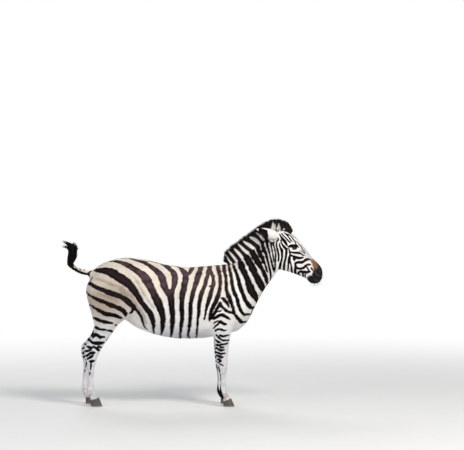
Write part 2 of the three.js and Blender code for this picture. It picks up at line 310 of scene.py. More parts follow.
def ladder(count: int, sides: int) -> tuple[Array, Array]:
    """The vertices of all rings but the last, and those next to them on their rings, as flat arrays."""
    first, turn = np.arange(count - 1)[:, None] * sides, np.arange(sides)
    return (first + turn).ravel(), (first + (turn + 1) % sides).ravel()


def closed_grid(rings: Array) -> tuple[Array, Array]:
    """A closed surface of triangles through rings of equal count, with a middle point over each end.

    Args:
        rings: r by s by 3 places, each ring counter-clockwise as seen from the last ring.

    Returns:
        Vertices and triangles.
    """
    count, sides = rings.shape[:2]
    points = np.vstack((rings.reshape(-1, 3), rings[0].mean(axis=0), rings[-1].mean(axis=0)))
    a, b = ladder(count, sides)
    turn, after, last = a[:sides], b[:sides], (count - 1) * sides
    caps = columns(count * sides, after, turn), columns(count * sides + 1, turn + last, after + last)
    return points, np.vstack((columns(a, b, b + sides), columns(a, b + sides, a + sides), *caps))


def outward(points: Array, faces: Array) -> Array:
    """Triangles of a closed surface turned so that it encloses a positive volume."""
    a, b, c = (points[faces[:, i]] for i in range(3))
    return faces if (np.cross(a, b) * c).sum() > 0 else faces[:, ::-1]


@dataclass
class Blades:
    """Many tapered blades of hair with a three-sided section, made as one mesh.

    The middle of a blade is a quadratic Bezier curve from its root past a middle point to its tip.
    Its section at a share t is a triangle of half width w(1 - t^p) across, that much times the
    thickness high; the last ring is the single tip.
    """

    root: Array
    middle: Array
    tip: Array
    across: Array  # unit vectors over the width
    half_width: Array
    flatness: float = 0.5  # height of the section as a share of its half width
    rings: int = 1
    fullness: float = 2.0  # the power p of the taper

    def geometry(self) -> tuple[Array, Array]:
        """Works out all the blades at once.

        Returns:
            Vertices, blade by blade, and triangles.
        """
        count, rings = len(self.root), self.rings
        t = (np.arange(rings) / rings)[None, :, None]
        root, middle, tip, across = (v[:, None, :] for v in (self.root, self.middle, self.tip, self.across))
        line = (1 - t) ** 2 * root + 2 * t * (1 - t) * middle + t**2 * tip
        way = unit((1 - t) * (middle - root) + t * (tip - middle))
        across = unit(across - way * (across * way).sum(-1, keepdims=True))
        wide = self.half_width[:, None, None] * (1 - t**self.fullness)
        rise = np.cross(way, across) * wide * self.flatness
        section = np.stack((line - across * wide, line + across * wide, line + rise), axis=2)
        points = np.concatenate((section.reshape(count, rings * 3, 3), tip), axis=1)
        a, b = ladder(rings, 3)
        turn = np.arange(3) + rings * 3 - 3
        end = columns(turn, np.roll(turn, -1), rings * 3)
        one = np.vstack(((0, 2, 1), columns(a, b, b + 3), columns(a, b + 3, a + 3), end))
        faces = one[None] + (np.arange(count) * (rings * 3 + 1))[:, None, None]
        return points.reshape(-1, 3), faces.reshape(-1, 3)

    def spread(self, values: Array) -> Array:
        """A value of each blade repeated over its vertices."""
        return np.repeat(values, self.rings * 3 + 1, axis=0)

    def shares(self) -> Array:
        """How far along its blade each vertex lies, from 0 to 1."""
        return np.tile(np.append(np.repeat(np.arange(self.rings) / self.rings, 3), 1.0), len(self.root))

    def patches(self, places: Array, size: float) -> Array:
        """UV corners that lay each blade as a small patch at its place on an unwrap."""
        across = np.append(np.tile((-0.5, 0.5, 0.0), self.rings), 0.0)
        one = np.column_stack((across, self.shares()[: len(across)])) * size
        return (places[:, None, :] + one[None]).reshape(-1, 2)


def hair_piece(name: str, points: Array, faces: Array, material: bpy.types.Material, chart: Array,
               **values: Array) -> bpy.types.Object:
    """A piece of hair with its UV map, reported.

    Args:
        name: the piece's name.
        points: vertices, in metres.
        faces: triangles.
        material: its finish.
        chart: a pair of UV numbers for each vertex.
        values: numbers or colours for each vertex.

    Returns:
        The piece.
    """
    made = build_piece(name, points, faces, material, **values)
    index = fetched(made.data.loops, "vertex_index", kind=np.int32)
    made.data.uv_layers.new(name=UV_MAP).data.foreach_set("uv", chart[index].astype(np.float32).ravel())
    LOG.info("%s: %d triangles", name, len(faces))
    return made


# ---------------------------------------------------------------- finishes
@dataclass
class Value:
    """A socket of numbers in a material's network, on which sums are written as Python ones."""

    net: "Net"
    socket: bpy.types.NodeSocket

    def maths(self, operation: str, *terms: "Value | float") -> "Value":
        """A Math node on this value and the given terms."""
        return self.net.value("ShaderNodeMath", {"operation": operation}, dict(enumerate((self, *terms))))

    def __add__(self, other: "Value | float") -> "Value":
        """Sum."""
        return self.maths("ADD", other)

    __radd__ = __add__

    def __mul__(self, other: "Value | float") -> "Value":
        """Product."""
        return self.maths("MULTIPLY", other)

    __rmul__ = __mul__

    def __sub__(self, other: "Value | float") -> "Value":
        """Difference."""
        return self.maths("SUBTRACT", other)

    def __rsub__(self, other: float) -> "Value":
        """Difference from a number."""
        return self.net.value("ShaderNodeMath", {"operation": "SUBTRACT"}, {0: other, 1: self})

    def __truediv__(self, other: "Value | float") -> "Value":
        """Quotient."""
        return self.maths("DIVIDE", other)

    def step(self, low: float, high: float) -> "Value":
        """A smooth step from 0 at low to 1 at high; falls where low is above high.

        Args:
            low: the number at which it is 0.
            high: the number at which it is 1.

        Returns:
            The step's value.
        """
        if low > high:
            return 1.0 - self.step(high, low)
        kind = {"interpolation_type": "SMOOTHSTEP"}
        return self.net.value("ShaderNodeMapRange", kind, {"Value": self, "From Min": low, "From Max": high})


class Net:
    """The node network of a material or of the world."""

    def __init__(self, owner: bpy.types.ID) -> None:
        """Empties the owner's network."""
        owner.use_nodes = True
        self.owner, self.tree = owner, owner.node_tree
        self.tree.nodes.clear()

    def node(self, kind: str, settings: dict | None = None, inputs: dict | None = None) -> bpy.types.Node:
        """Adds a node.

        Args:
            kind: the node's type.
            settings: its properties, set first.
            inputs: numbers, colours or Values for its inputs, by name or number.

        Returns:
            The node.
        """
        made = self.tree.nodes.new(kind)
        for name, setting in (settings or {}).items():
            setattr(made, name, setting)
        for name, value in (inputs or {}).items():
            if isinstance(value, Value):
                self.tree.links.new(value.socket, made.inputs[name])
            else:
                made.inputs[name].default_value = value
        return made

    def value(self, kind: str, settings: dict | None = None, inputs: dict | None = None,
              output: int | str = 0) -> Value:
        """Adds a node and returns one of its outputs as a Value."""
        return Value(self, self.node(kind, settings, inputs).outputs[output])

    def attribute(self, name: str, output: str = "Fac") -> Value:
        """A stored number or colour of the mesh."""
        return self.value("ShaderNodeAttribute", {"attribute_name": name}, {}, output)

    def where(self) -> Value:
        """Places on the object."""
        return self.value("ShaderNodeTexCoord", output="Object")

    def noise(self, scale: float, detail: float = 2.0, roughness: float = 0.5, at: Value | None = None) -> Value:
        """Noise of a scale over the places on the object, or over other ones."""
        inputs = {"Vector": at or self.where(), "Scale": scale, "Detail": detail, "Roughness": roughness}
        return self.value("ShaderNodeTexNoise", {}, inputs)

    def mix(self, share: Value | float, a: Value | Colour, b: Value | Colour, kind: str = "MIX") -> Value:
        """Two colours mixed by a share."""
        a, b = ((*c, 1.0) if isinstance(c, tuple) else c for c in (a, b))
        return self.value("ShaderNodeMix", {"data_type": "RGBA", "blend_type": kind}, {"Factor": share, 6: a, 7: b}, 2)

    def grey(self, share: Value, low: float, high: float) -> Value:
        """A grey between two levels."""
        return self.mix(share, (low,) * 3, (high,) * 3)

    def bump(self, height: Value, relief: float, strength: float = 1.0) -> Value:
        """A Bump node of a depth in metres."""
        return self.value("ShaderNodeBump", {}, {"Strength": strength, "Distance": relief, "Height": height})

    def surface(self, base: Value, specular: float, **inputs: Value | float) -> Value:
        """A Principled shader; in the names of its other inputs each space is an underscore."""
        named = {name.replace("_", " "): value for name, value in inputs.items()}
        return self.value("ShaderNodeBsdfPrincipled", {}, {"Base Color": base, "Specular IOR Level": specular, **named})

    def finish(self, surface: Value, output: str = "ShaderNodeOutputMaterial") -> bpy.types.ID:
        """Leads a shader to the output and returns the network's owner."""
        self.node(output, {}, {"Surface": surface})
        return self.owner


def new_net(name: str) -> Net:
    """The empty network of a new material."""
    return Net(bpy.data.materials.new(name))


@dataclass(frozen=True)
class HideFinish:
    """Skin or coat: the ground colour with the dark marks over it, both stored on the mesh.

    The mark is drawn where the stored distance, in millimetres, plus a slow and a fast noise falls
    below zero. Wide marks are a little paler in their middle, a painted sheen, and bare skin is smoother.
    """

    name: str
    roughness: float
    edge: float  # half the width of the soft edge of a mark, in millimetres
    grain: float  # scale of the finest unevenness
    relief: float  # depth of the bump, in metres

    def material(self) -> bpy.types.Material:
        """Draws the marks over the ground, clouds both, and roughens the surface.

        Returns:
            The finish as a material.
        """
        net = new_net(self.name)
        slow, fine, cloud = net.noise(38.0), net.noise(self.grain, 3.0, 0.6), net.noise(9.0, 3.0)
        distance = net.attribute("marks") + (slow - 0.5) * 4.0 + (fine - 0.5) * 2.6
        shade = net.grey((cloud * 0.6 + fine * 0.4).step(0.25, 0.75), 0.86, 1.1)
        ground = net.mix(1.0, net.attribute("ground", "Color"), shade, "MULTIPLY")
        # Painted sheen: the middle of wide marks turns a little paler and redder
        tone = net.mix(distance.step(-14.0, -34.0) * 0.20, net.attribute("tone", "Color"), (0.10, 0.06, 0.06))
        shade = net.grey((fine * 0.6 + cloud * 0.4).step(0.25, 0.75), 0.6, 1.2)
        tone = net.mix(1.0, tone, shade, "MULTIPLY")
        base = net.mix(distance.step(self.edge, -self.edge), ground, tone)
        rough = self.roughness - net.attribute("bare") * 0.22 + (fine - 0.5) * 0.16
        bump = net.bump(net.noise(self.grain * 1.7), self.relief)
        return net.finish(net.surface(base, 0.08, Roughness=rough, Normal=bump))


@dataclass(frozen=True)
class HairFinish:
    """Long hair: black-brown with pale locks, each lock a little lighter or darker than the next."""

    name: str
    pale: Colour
    dark: Colour
    roughness: float

    def material(self) -> bpy.types.Material:
        """Mixes the pale and the dark hair, strand by strand.

        Returns:
            The finish as a material.
        """
        net = new_net(self.name)
        strand, fine = net.attribute("strand"), net.noise(420.0, 3.0, 0.7)
        pale = (net.attribute("marks") + (fine - 0.5) * 6.0).step(-3.0, 4.0)
        light = net.mix(1.0, self.pale, net.grey(strand, 0.78, 1.08), "MULTIPLY")
        black = net.mix(strand.step(0.55, 1.0) * 0.4 + fine * 0.12, self.dark, (0.025, 0.014, 0.010))
        rough, bump = self.roughness + (fine - 0.5) * 0.25, net.bump(fine, 0.0006, 0.6)
        return net.finish(net.surface(net.mix(pale, black, light), 0.12, Roughness=rough, Normal=bump))


@dataclass(frozen=True)
class HornFinish:
    """Hoof horn: dark grey-brown with rings of growth, fine upright fibres and dust near the ground."""

    name: str = "hoof_horn"
    horn: Colour = (0.052, 0.044, 0.040)
    pale: Colour = (0.17, 0.145, 0.12)
    dust: Colour = (0.30, 0.25, 0.19)

    def material(self) -> bpy.types.Material:
        """Lays fibres and rings over the horn, and dust over its foot.

        Returns:
            The finish as a material.
        """
        net = new_net(self.name)
        height = net.value("ShaderNodeSeparateXYZ", {}, {0: net.where()}, 2)
        stretch = {0: net.where(), 1: (1.0, 1.0, 0.06)}
        fibres = net.noise(700.0, at=net.value("ShaderNodeVectorMath", {"operation": "MULTIPLY"}, stretch))
        cloud, rings = net.noise(60.0, 3.0), net.attribute("growth")
        base = net.mix((cloud * 0.6 + fibres * 0.5 + rings * 0.3).step(0.5, 1.0), self.horn, self.pale)
        base = net.mix((height * 60.0 + (cloud - 0.5) * 1.6).step(1.1, 0.0) * 0.55, base, self.dust)
        bump = net.bump(fibres * 0.4 + rings * 0.8, 0.0012, 0.7)
        return net.finish(net.surface(base, 0.45, Roughness=cloud * 0.2 + 0.46, Normal=bump))


@dataclass(frozen=True)
class EyeFinish:
    """The eyeball: a wide black pupil in a dark brown iris, with a narrow grey white, under a wet coat."""

    name: str = "eye_ball"
    pupil: Colour = (0.004, 0.005, 0.008)
    iris: Colour = (0.020, 0.008, 0.004)
    iris_edge: Colour = (0.004, 0.002, 0.002)
    white: Colour = (0.04, 0.028, 0.024)

    def material(self) -> bpy.types.Material:
        """Draws the iris and the pupil by their stored angles.

        Returns:
            The finish as a material.
        """
        net = new_net(self.name)
        fibres = net.noise(900.0, 2.0, 0.7)
        radius = net.attribute("iris") + (fibres - 0.5) * 0.06
        pupil = net.attribute("pupil") + (fibres - 0.5) * 0.08
        ring = net.mix(fibres.step(0.3, 0.7), self.iris, tuple(c * 1.9 for c in self.iris))
        ring = net.mix(radius.step(0.78, 1.0), ring, self.iris_edge)
        base = net.mix(pupil.step(1.1, 0.95), net.mix(radius.step(0.98, 1.1), ring, self.white), self.pupil)
        return net.finish(net.surface(base, 0.15, Roughness=0.3, Coat_Weight=0.35, Coat_Roughness=0.02))


@dataclass(frozen=True)
class FloorFinish:
    """A pale studio floor that fades to white away from the animal, for rays from the camera alone."""

    name: str = "floor"
    colour: Colour = (0.78, 0.78, 0.77)
    near: float = 2.2  # how far from the middle it starts to fade, in metres
    far: float = 8.0

    def material(self) -> bpy.types.Material:
        """Fades the floor to white by the distance from the middle.

        Returns:
            The finish as a material.
        """
        net = new_net(self.name)
        base = net.mix(net.noise(3.0, 3.0).step(0.3, 0.7), self.colour, tuple(c * 0.985 for c in self.colour))
        away = net.value("ShaderNodeVectorMath", {"operation": "LENGTH"}, {0: net.where()}, "Value")
        camera, glossy = (net.value("ShaderNodeLightPath", output=f"Is {ray} Ray") for ray in ("Camera", "Glossy"))
        white = net.value("ShaderNodeEmission", {}, {"Color": (1.0, 1.0, 1.0, 1.0), "Strength": 1.0})
        share = camera.maths("MAXIMUM", glossy) * away.step(self.near, self.far)
        lit = net.surface(base, 0.1, Roughness=0.85)
        return net.finish(net.value("ShaderNodeMixShader", {}, {0: share, 1: lit, 2: white}))


# ---------------------------------------------------------------- the skin
class Links:
    """Means over the neighbours of each vertex of a mesh."""

    def __init__(self, mesh: bpy.types.Mesh) -> None:
        """Sorts both directions of every edge by where they start.

        Args:
            mesh: the mesh whose edges are followed.
        """
        edges = fetched(mesh.edges, "vertices", 2, np.int64)
        ends = np.vstack((edges, edges[:, ::-1]))
        ends = ends[np.argsort(ends[:, 0], kind="stable")]
        self.to = ends[:, 1]
        counts = np.bincount(ends[:, 0], minlength=len(mesh.vertices))
        self.start = np.append(0, np.cumsum(counts)[:-1])
        self.counts = counts[:, None]

    def relax(self, values: Array, weight: Array, rounds: int) -> Array:
        """Moves values towards their neighbours' means.

        Args:
            values: n by k.
            weight: share of the way that each goes in a round.
            rounds: how often.

        Returns:
            The moved values.
        """
        values = values.copy()
        for _ in range(rounds):
            values += weight * (np.add.reduceat(values[self.to], self.start) / self.counts - values)
        return values


@dataclass(frozen=True)
class Form:
    """A swelling (height above zero) or a hollow of the flesh along a line, on both sides."""

    start: tuple[float, float, float]
    end: tuple[float, float, float]
    radius: float
    height: float


FORMS = (
    Form((300, 150, 1240), (372, 170, 985), 46, 5.0),  # the blade's spine
    Form((410, 125, 960), (430, 125, 900), 60, 9.0),  # point of the shoulder
    Form((300, 205, 960), (225, 190, 860), 70, 9.0),  # triceps
    Form((232, 165, 800), (222, 160, 770), 34, 8.0),  # elbow
    Form((345, 210, 985), (262, 195, 800), 24, -4.5),  # line between shoulder and arm
    Form((170, 215, 1130), (140, 205, 800), 50, -5.0),  # behind the shoulder
    Form((-430, 215, 1165), (-470, 215, 1085), 62, -10.0),  # hollow of the flank
    Form((-480, 190, 1000), (-530, 160, 800), 34, -8.0),  # fold from flank to stifle
    Form((-575, 190, 1250), (-545, 205, 1222), 46, 7.0),  # point of the hip
    Form((-562, 175, 850), (-590, 165, 800), 48, 7.0),  # stifle
    Form((-905, 120, 1150), (-880, 135, 860), 26, -4.0),  # line down the back of the thigh
    Form((-760, 190, 1050), (-730, 190, 900), 80, 6.0),  # thigh
    Form((-955, 60, 1105), (-965, 70, 1060), 34, 6.0),  # seat bone
    Form((560, 88, 1040), (742, 82, 1330), 22, -5.0),  # gullet groove
    Form((470, 100, 1180), (690, 84, 1440), 40, 4.0),  # muscle of the neck
    Form((500, 90, 1330), (650, 60, 1480), 26, -3.0),  # under the crest
    Form((812, 84, 1500), (830, 86, 1300), 22, -4.0),  # behind the cheek
    Form((868, 92, 1400), (880, 90, 1320), 56, 4.5),  # cheek plate
    Form((955, 92, 1412), (1040, 76, 1350), 13, 4.0),  # crest of the cheek
    Form((930, 90, 1380), (1010, 80, 1300), 20, -2.5),  # below the crest
    Form((1020, 52, 1420), (1110, 46, 1330), 18, -3.5),  # side of the nose
    Form((900, 66, 1540), (925, 66, 1530), 20, -6.0),  # hollow above the eye
    Form((905, 88, 1492), (965, 84, 1490), 13, 5.0),  # arch of the brow
    Form((1110, 60, 1190), (1128, 58, 1200), 20, -3.0),  # corner of the lips
    Form((1150, 48, 1145), (1140, 40, 1140), 24, 3.0),  # chin
    Form((985, 70, 1215), (1050, 60, 1200), 16, -2.0),  # under the jaw
)

# Forms of a limb at the y of its middle: start, end, radius, height; y is over (+) or under (-) it
LIMB_FORMS = {
    "fore": (
        Form((322, 30, 345), (322, 30, 330), 16, 3.5),
        Form((262, 24, 355), (262, 24, 330), 12, 3.0),
        Form((283, 28, 300), (278, 26, 130), 7, -3.0),
        Form((262, 22, 130), (262, 22, 118), 12, 3.0),
        Form((300, 48, 620), (280, 46, 420), 20, 3.0),
        Form((255, 44, 640), (250, 42, 460), 11, -3.0),
    ),
    "hind": (
        Form((-905, 40, 560), (-955, 38, 450), 15, -6.0),
        Form((-922, 34, 440), (-915, 34, 400), 20, 4.0),
        Form((-935, 26, 360), (-940, 26, 150), 7, -3.0),
        Form((-960, 24, 150), (-960, 24, 136), 12, 3.0),
        Form((-830, 50, 660), (-880, 46, 560), 22, 4.0),
    ),
}


@dataclass
class Limb:
    """Where one leg stands, beside the tables drawn for the right legs."""

    name: str
    side: Side
    shift: float  # how much further forwards its foot stands, in millimetres
    top: float  # height at which the shift fades out, in millimetres
    middle: float  # distance of its middle from the middle plane, in millimetres

    @property
    def kind(self) -> str:
        """Which tables it takes: fore or hind."""
        return self.name[:4]

    def slide(self, height: Array) -> Array:
        """The shift at a height: full at the foot and none at the top, along a smooth step."""
        return self.shift * step(self.top, 200.0, height)

    def holds(self, p: Array, top: float) -> Array:
        """Which places lie on its side below a height."""
        return (p[:, 1] * self.side.value > 0) & (p[:, 2] < top)


LIMBS = (
    Limb("foreleg_right", Side.RIGHT, 0.0, 935.0, 112.0),
    Limb("foreleg_left", Side.LEFT, -26.0, 935.0, 112.0),
    Limb("hindleg_right", Side.RIGHT, 0.0, 1050.0, 108.0),
    Limb("hindleg_left", Side.LEFT, -62.0, 1050.0, 108.0),
)


@dataclass
class Ear:
    """An ear laid back along the neck: a thin cup whose back faces outwards.

    Across a station the cup is an arc of turn a from -c to c about the ear's middle line, with
    sin(a) times the half width upwards and cos(a) times a share of it outwards; the inner face is
    the same arc less the wall.
    """

    side: Side
    root: tuple[float, float, float] = (797.0, 64.0, 1564.0)
    tip: tuple[float, float, float] = (594.0, 102.0, 1637.0)
    half_width: float = 45.0
    depth: float = 0.62  # of the cup, as a share of its half width
    sunk: float = 22.0  # how far the tube runs on into the skull
    curl: tuple[float, float] = (0.70, 0.30)  # half turn at root and tip, in half circles
    wall: tuple[float, float] = (9.0, 3.6)
    stations: int = 36
    arc: int = 22

    @property
    def length(self) -> float:
        """Length from root to tip, in millimetres."""
        return float(np.linalg.norm(np.subtract(self.tip, self.root)))

    def axes(self) -> tuple[Array, Array, Array, Array]:
        """Finds the ear's frame.

        Returns:
            Root, way along, way up and way outwards of the ear, the first in millimetres.
        """
        root, tip = np.array((self.root, self.tip)) * self.side.flip
        along, beside = unit(tip - root), np.array((0.0, self.side.value, 0.0))
        out = unit(beside - along * (along @ beside))
        return root, along, unit(np.cross(along, out)) * -self.side.value, out

    def half(self, t: Array) -> Array:
        """Half width at a share of the length: it swells over the first half and closes to a point."""
        swell = 0.72 + 0.28 * np.sin(np.pi / 2 * np.clip(t / 0.45, 0, 1))
        return self.half_width * swell * np.maximum(1 - np.clip(t, 0, 1) ** 3, 0.10) ** 0.75

    def mesh(self) -> tuple[Array, Array]:
        """Lays the outer arc and the inner arc of every station together as a ring.

        Returns:
            Vertices, in metres, and triangles of the closed cup.
        """
        root, along, up, out = self.axes()
        t = np.linspace(-self.sunk / self.length, 1.0, self.stations)[:, None]
        half, wall, curl = self.half(t), np.interp(t, (0, 1), self.wall), np.interp(t, (0, 1), self.curl)
        share = np.linspace(-1, 1, self.arc)[None]
        turn = np.pi * curl * share
        rim = 0.35 + 0.65 * np.sqrt(np.clip(1 - share**8, 0, 1))
        bow = np.sin(np.pi * np.clip(t, 0, 1)) * 5.0
        flare = 1.5 * np.sin(7.0 * t) * share**2
        centre = (root + along * (t * self.length))[:, None]

        def face(reach: Array) -> Array:
            """One face of the cup, a reach outside its middle surface."""
            high = np.sin(turn) * (half + reach) + bow * 0.6
            deep = np.cos(turn) * (half * self.depth + reach) + bow - flare
            return centre + high[..., None] * up + deep[..., None] * out

        points, faces = closed_grid(np.concatenate((face(0 * rim), face(-wall * rim)[:, ::-1]), axis=1))
        return place(points), outward(place(points), faces)

    def along(self, p: Array) -> Array:
        """Finds the places on the ear.

        Args:
            p: places in table millimetres.

        Returns:
            How far along it each lies, from 0 at the root to 1 at the tip, and -1 off the ear.
        """
        root, along, up, out = self.axes()
        away, beside = p - root, p[:, 1] * self.side.value
        t = away @ along / self.length
        across = np.hypot(away @ up, away @ out / 0.8)
        inside = (t > -0.02) & (t < 1.05) & (across < 64) & (beside > 22)
        return np.where(inside & (beside > 88 - 60 * step(0.0, 0.35, t)), t, -1.0)


def on_ear(p: Array) -> Array:
    """How far along either ear each place lies, or -1."""
    return np.maximum(*(Ear(side).along(p) for side in Side))


@dataclass
class Skin:
    """One skin over all the flesh, with the ears, lids, nostrils and lips modelled in it."""

    voxel: float = 0.0122
    depth_body: float = 4.0  # how deep the skin lies under the solids, in millimetres
    depth_fine: float = 2.0
    eye: tuple[float, float, float] = (940.0, 86.0, 1465.0)
    eye_radius: float = 20.0
    eye_level: tuple[float, float, float] = (0.93, 0.0, -0.37)  # along the opening towards the nose
    lid: float = 2.2  # thickness of the lids
    nostril: tuple[float, float, float] = (1163.0, 46.0, 1238.0)
    ear_root: tuple[float, float, float] = (790.0, 66.0, 1566.0)
    mesh: bpy.types.Mesh = field(init=False)
    object: bpy.types.Object = field(init=False)

    def flesh(self) -> list[str]:
        """Names of the nodes that the skin stands for."""
        apart = ("eye", "hoof", "mane", "forelock", "tail_brush")
        return [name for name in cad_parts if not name.startswith(apart)]

    def joined(self) -> bpy.types.Object:
        """Puts the flesh, the eyes and the hooves together, without the ears.

        Returns:
            One object of merged meshes.
        """
        apart = ("ear", "mane", "forelock", "tail_brush")
        nodes = [node.data for name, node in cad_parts.items() if not name.startswith(apart)]
        starts = np.cumsum([0] + [len(data.vertices) for data in nodes])
        faces = np.vstack([read_triangles(data)[0] + start for data, start in zip(nodes, starts)])
        mesh = bpy.data.meshes.new("flesh")
        mesh.from_pydata(np.vstack([read_points(data) for data in nodes]).tolist(), [], faces.tolist())
        shell = bmesh.new()
        shell.from_mesh(mesh)
        bmesh.ops.remove_doubles(shell, verts=shell.verts, dist=1e-5)
        shell.to_mesh(mesh)
        shell.free()
        return linked("flesh", mesh)

    def applied(self, item: bpy.types.Object) -> bpy.types.Mesh:
        """Applies the modifiers of an object, which goes.

        Args:
            item: the object.

        Returns:
            Its mesh as they leave it.
        """
        mesh = bpy.data.meshes.new_from_object(item.evaluated_get(bpy.context.evaluated_depsgraph_get()))
        bpy.data.objects.remove(item)
        return mesh

    def fine(self, p: Array) -> Array:
        """Finds the limbs, the head and the dock, where the skin is finer.

        Args:
            p: places in table millimetres.

        Returns:
            1 there, 0 on the trunk, and a blend between them.
        """
        x, _, z = p.T
        fore = step(170, 190, x) * step(730, 690, z)
        hind = step(-660, -690, x) * step(740, 700, z)
        dock = step(-940, -975, x) * step(1180, 1200, z)
        return np.clip(fore + hind + dock + step(690, 730, x), 0, 1)

    def split(self, mesh: bpy.types.Mesh, chosen: Array) -> None:
        """Cuts faces into four.

        Args:
            mesh: the mesh.
            chosen: which vertices; a face is cut where all its corners are chosen.
        """
        shell = bmesh.new()
        shell.from_mesh(mesh)
        shell.verts.ensure_lookup_table()
        edges = {edge for face in shell.faces if all(chosen[v.index] for v in face.verts) for edge in face.edges}
        bmesh.ops.subdivide_edges(shell, edges=list(edges), cuts=1, use_grid_fill=True)
        bmesh.ops.triangulate(shell, faces=[face for face in shell.faces if len(face.verts) > 4])
        shell.to_mesh(mesh)
        shell.free()

    def smooth(self, mesh: bpy.types.Mesh, weight: Array, rounds: int) -> None:
        """Smooths a mesh by weights, and gives back, smoothed too, what that took, so a limb keeps its girth."""
        points, links = read_points(mesh), Links(mesh)
        relaxed = links.relax(points, weight[:, None], rounds)
        write_points(mesh, relaxed + links.relax(points - relaxed, weight[:, None], rounds))

    def build(self) -> None:
        """Remeshes the flesh, adds the ears, and models the forms in it."""
        item = self.joined()
        remesh = item.modifiers.new("remesh", "REMESH")
        remesh.mode, remesh.voxel_size = "VOXEL", self.voxel
        mesh = self.applied(item)
        fine = self.fine(table_mm(read_points(mesh)))
        self.smooth(mesh, 0.5 - 0.42 * fine, 40)
        self.split(mesh, fine > 0.5)
        self.smooth(mesh, 0.5 * self.fine(table_mm(read_points(mesh))), 26)
        self.mesh = mesh = self.with_ears(mesh)
        for zone in (self.face_zone, self.finest_zone):
            self.split(mesh, zone(table_mm(read_points(mesh))))
        gap = self.gap(table_mm(read_points(mesh)), self.ear_root)
        write_points(mesh, Links(mesh).relax(read_points(mesh), 0.5 * step(74, 40, gap)[:, None], 10))
        self.sculpt()
        mesh.materials.clear()
        self.object = linked("skin", mesh)
        mesh.shade_smooth()
        mesh.update()

    def gap(self, p: Array, spot: tuple[float, float, float]) -> Array:
        """Distance of places to a spot, on whichever side they lie."""
        return np.linalg.norm(mirrored(p) - np.array(spot), axis=1)

    def face_zone(self, p: Array) -> Array:
        """The parts of the face that are cut finest: round the eyes, the nostrils and the lips."""
        return (self.gap(p, self.eye) < 44) | ((p[:, 0] > 1085) & (p[:, 2] < 1285))

    def finest_zone(self, p: Array) -> Array:
        """The lids and the rims of the nostrils."""
        return (self.gap(p, self.eye) < 31) | (self.gap(p, self.nostril) < 30)

    def with_ears(self, mesh: bpy.types.Mesh) -> bpy.types.Mesh:
        """Joins both ears to the head.

        Args:
            mesh: the skin without them.

        Returns:
            The skin with them.
        """
        item, tools = linked("head_and_ears", mesh), []
        for side in Side:
            cup = bpy.data.meshes.new("cup")
            points, faces = Ear(side).mesh()
            cup.from_pydata(points.tolist(), [], faces.tolist())
            tools.append(linked("cup", cup))
            union = item.modifiers.new("ear", "BOOLEAN")
            union.operation, union.solver, union.object = "UNION", "MANIFOLD", tools[-1]
        joined = self.applied(item)
        for tool in tools:
            bpy.data.objects.remove(tool)
        return joined

    def sculpt(self) -> None:
        """Sinks the skin by the coat's depth and models muscles, folds, lids, nostrils and lips."""
        points, normals = read_points(self.mesh), read_normals(self.mesh)
        p = table_mm(points)
        x, _, z = p.T
        fine = self.fine(p)
        depth = self.depth_body + (self.depth_fine - self.depth_body) * fine
        offset = np.where(on_ear(p) > 0.1, 0.0, -depth)
        for form in FORMS:
            offset += self.swell(mirrored(p), form)
        for limb in LIMBS:
            local = np.column_stack((x - limb.slide(z), p[:, 1] * limb.side.value - limb.middle, z))
            for form in LIMB_FORMS[limb.kind]:
                for face in (1.0, -1.0):
                    offset += np.where(limb.holds(p, 720), self.swell(local * (1.0, face, 1.0), form), 0.0)
        ribs = step(-320, -220, x) * step(150, 60, x) * step(760, 860, z) * step(1190, 1080, z)
        offset += ribs * 1.3 * np.sin((x - 0.18 * z) * 2 * np.pi / 52.0)
        offset += (1 - fine) * 1.6 * ripple(p, 190.0, 3)
        p = self.inside_hooves(p + normals * offset[:, None])
        write_points(self.mesh, place(self.nostrils_and_lips(self.lids(p), normals)))

    def swell(self, p: Array, form: Form) -> Array:
        """Works out a form's rise: its height times a bell of the distance to its line.

        Args:
            p: places in table millimetres.
            form: the swelling or hollow.

        Returns:
            Height at each place, in millimetres.
        """
        line = np.array(((*form.start, 0.0), (*form.end, 0.0)), dtype=float)
        here = near(p, line, form.radius * 2.6)
        rise = np.zeros(len(p))
        rise[here] = form.height * bell(line_distance(p[here], line), form.radius)
        return rise

    def inside_hooves(self, p: Array) -> Array:
        """Draws in what lies below the coronets, so that it stays hidden in the hooves.

        Args:
            p: places in table millimetres.

        Returns:
            The moved places.
        """
        for limb in LIMBS:
            toe_x, toe_z, heel_x, heel_z = CORONETS[limb.kind]
            local, middle_x = p[:, 0] - limb.shift, (toe_x + heel_x) / 2
            under = heel_z + (local - heel_x) * (toe_z - heel_z) / (toe_x - heel_x) - p[:, 2]
            pull = np.where(limb.holds(p, 90) & (np.abs(local - middle_x) < 90), step(-3, 9, under), 0.0)
            middle = np.array((middle_x + limb.shift, limb.side.value * limb.middle))
            p[:, :2] = middle + (p[:, :2] - middle) * (1 - 0.34 * pull)[:, None]
            p[:, 2] += pull * np.clip(under - 9, 0, None) * 0.6
        return p

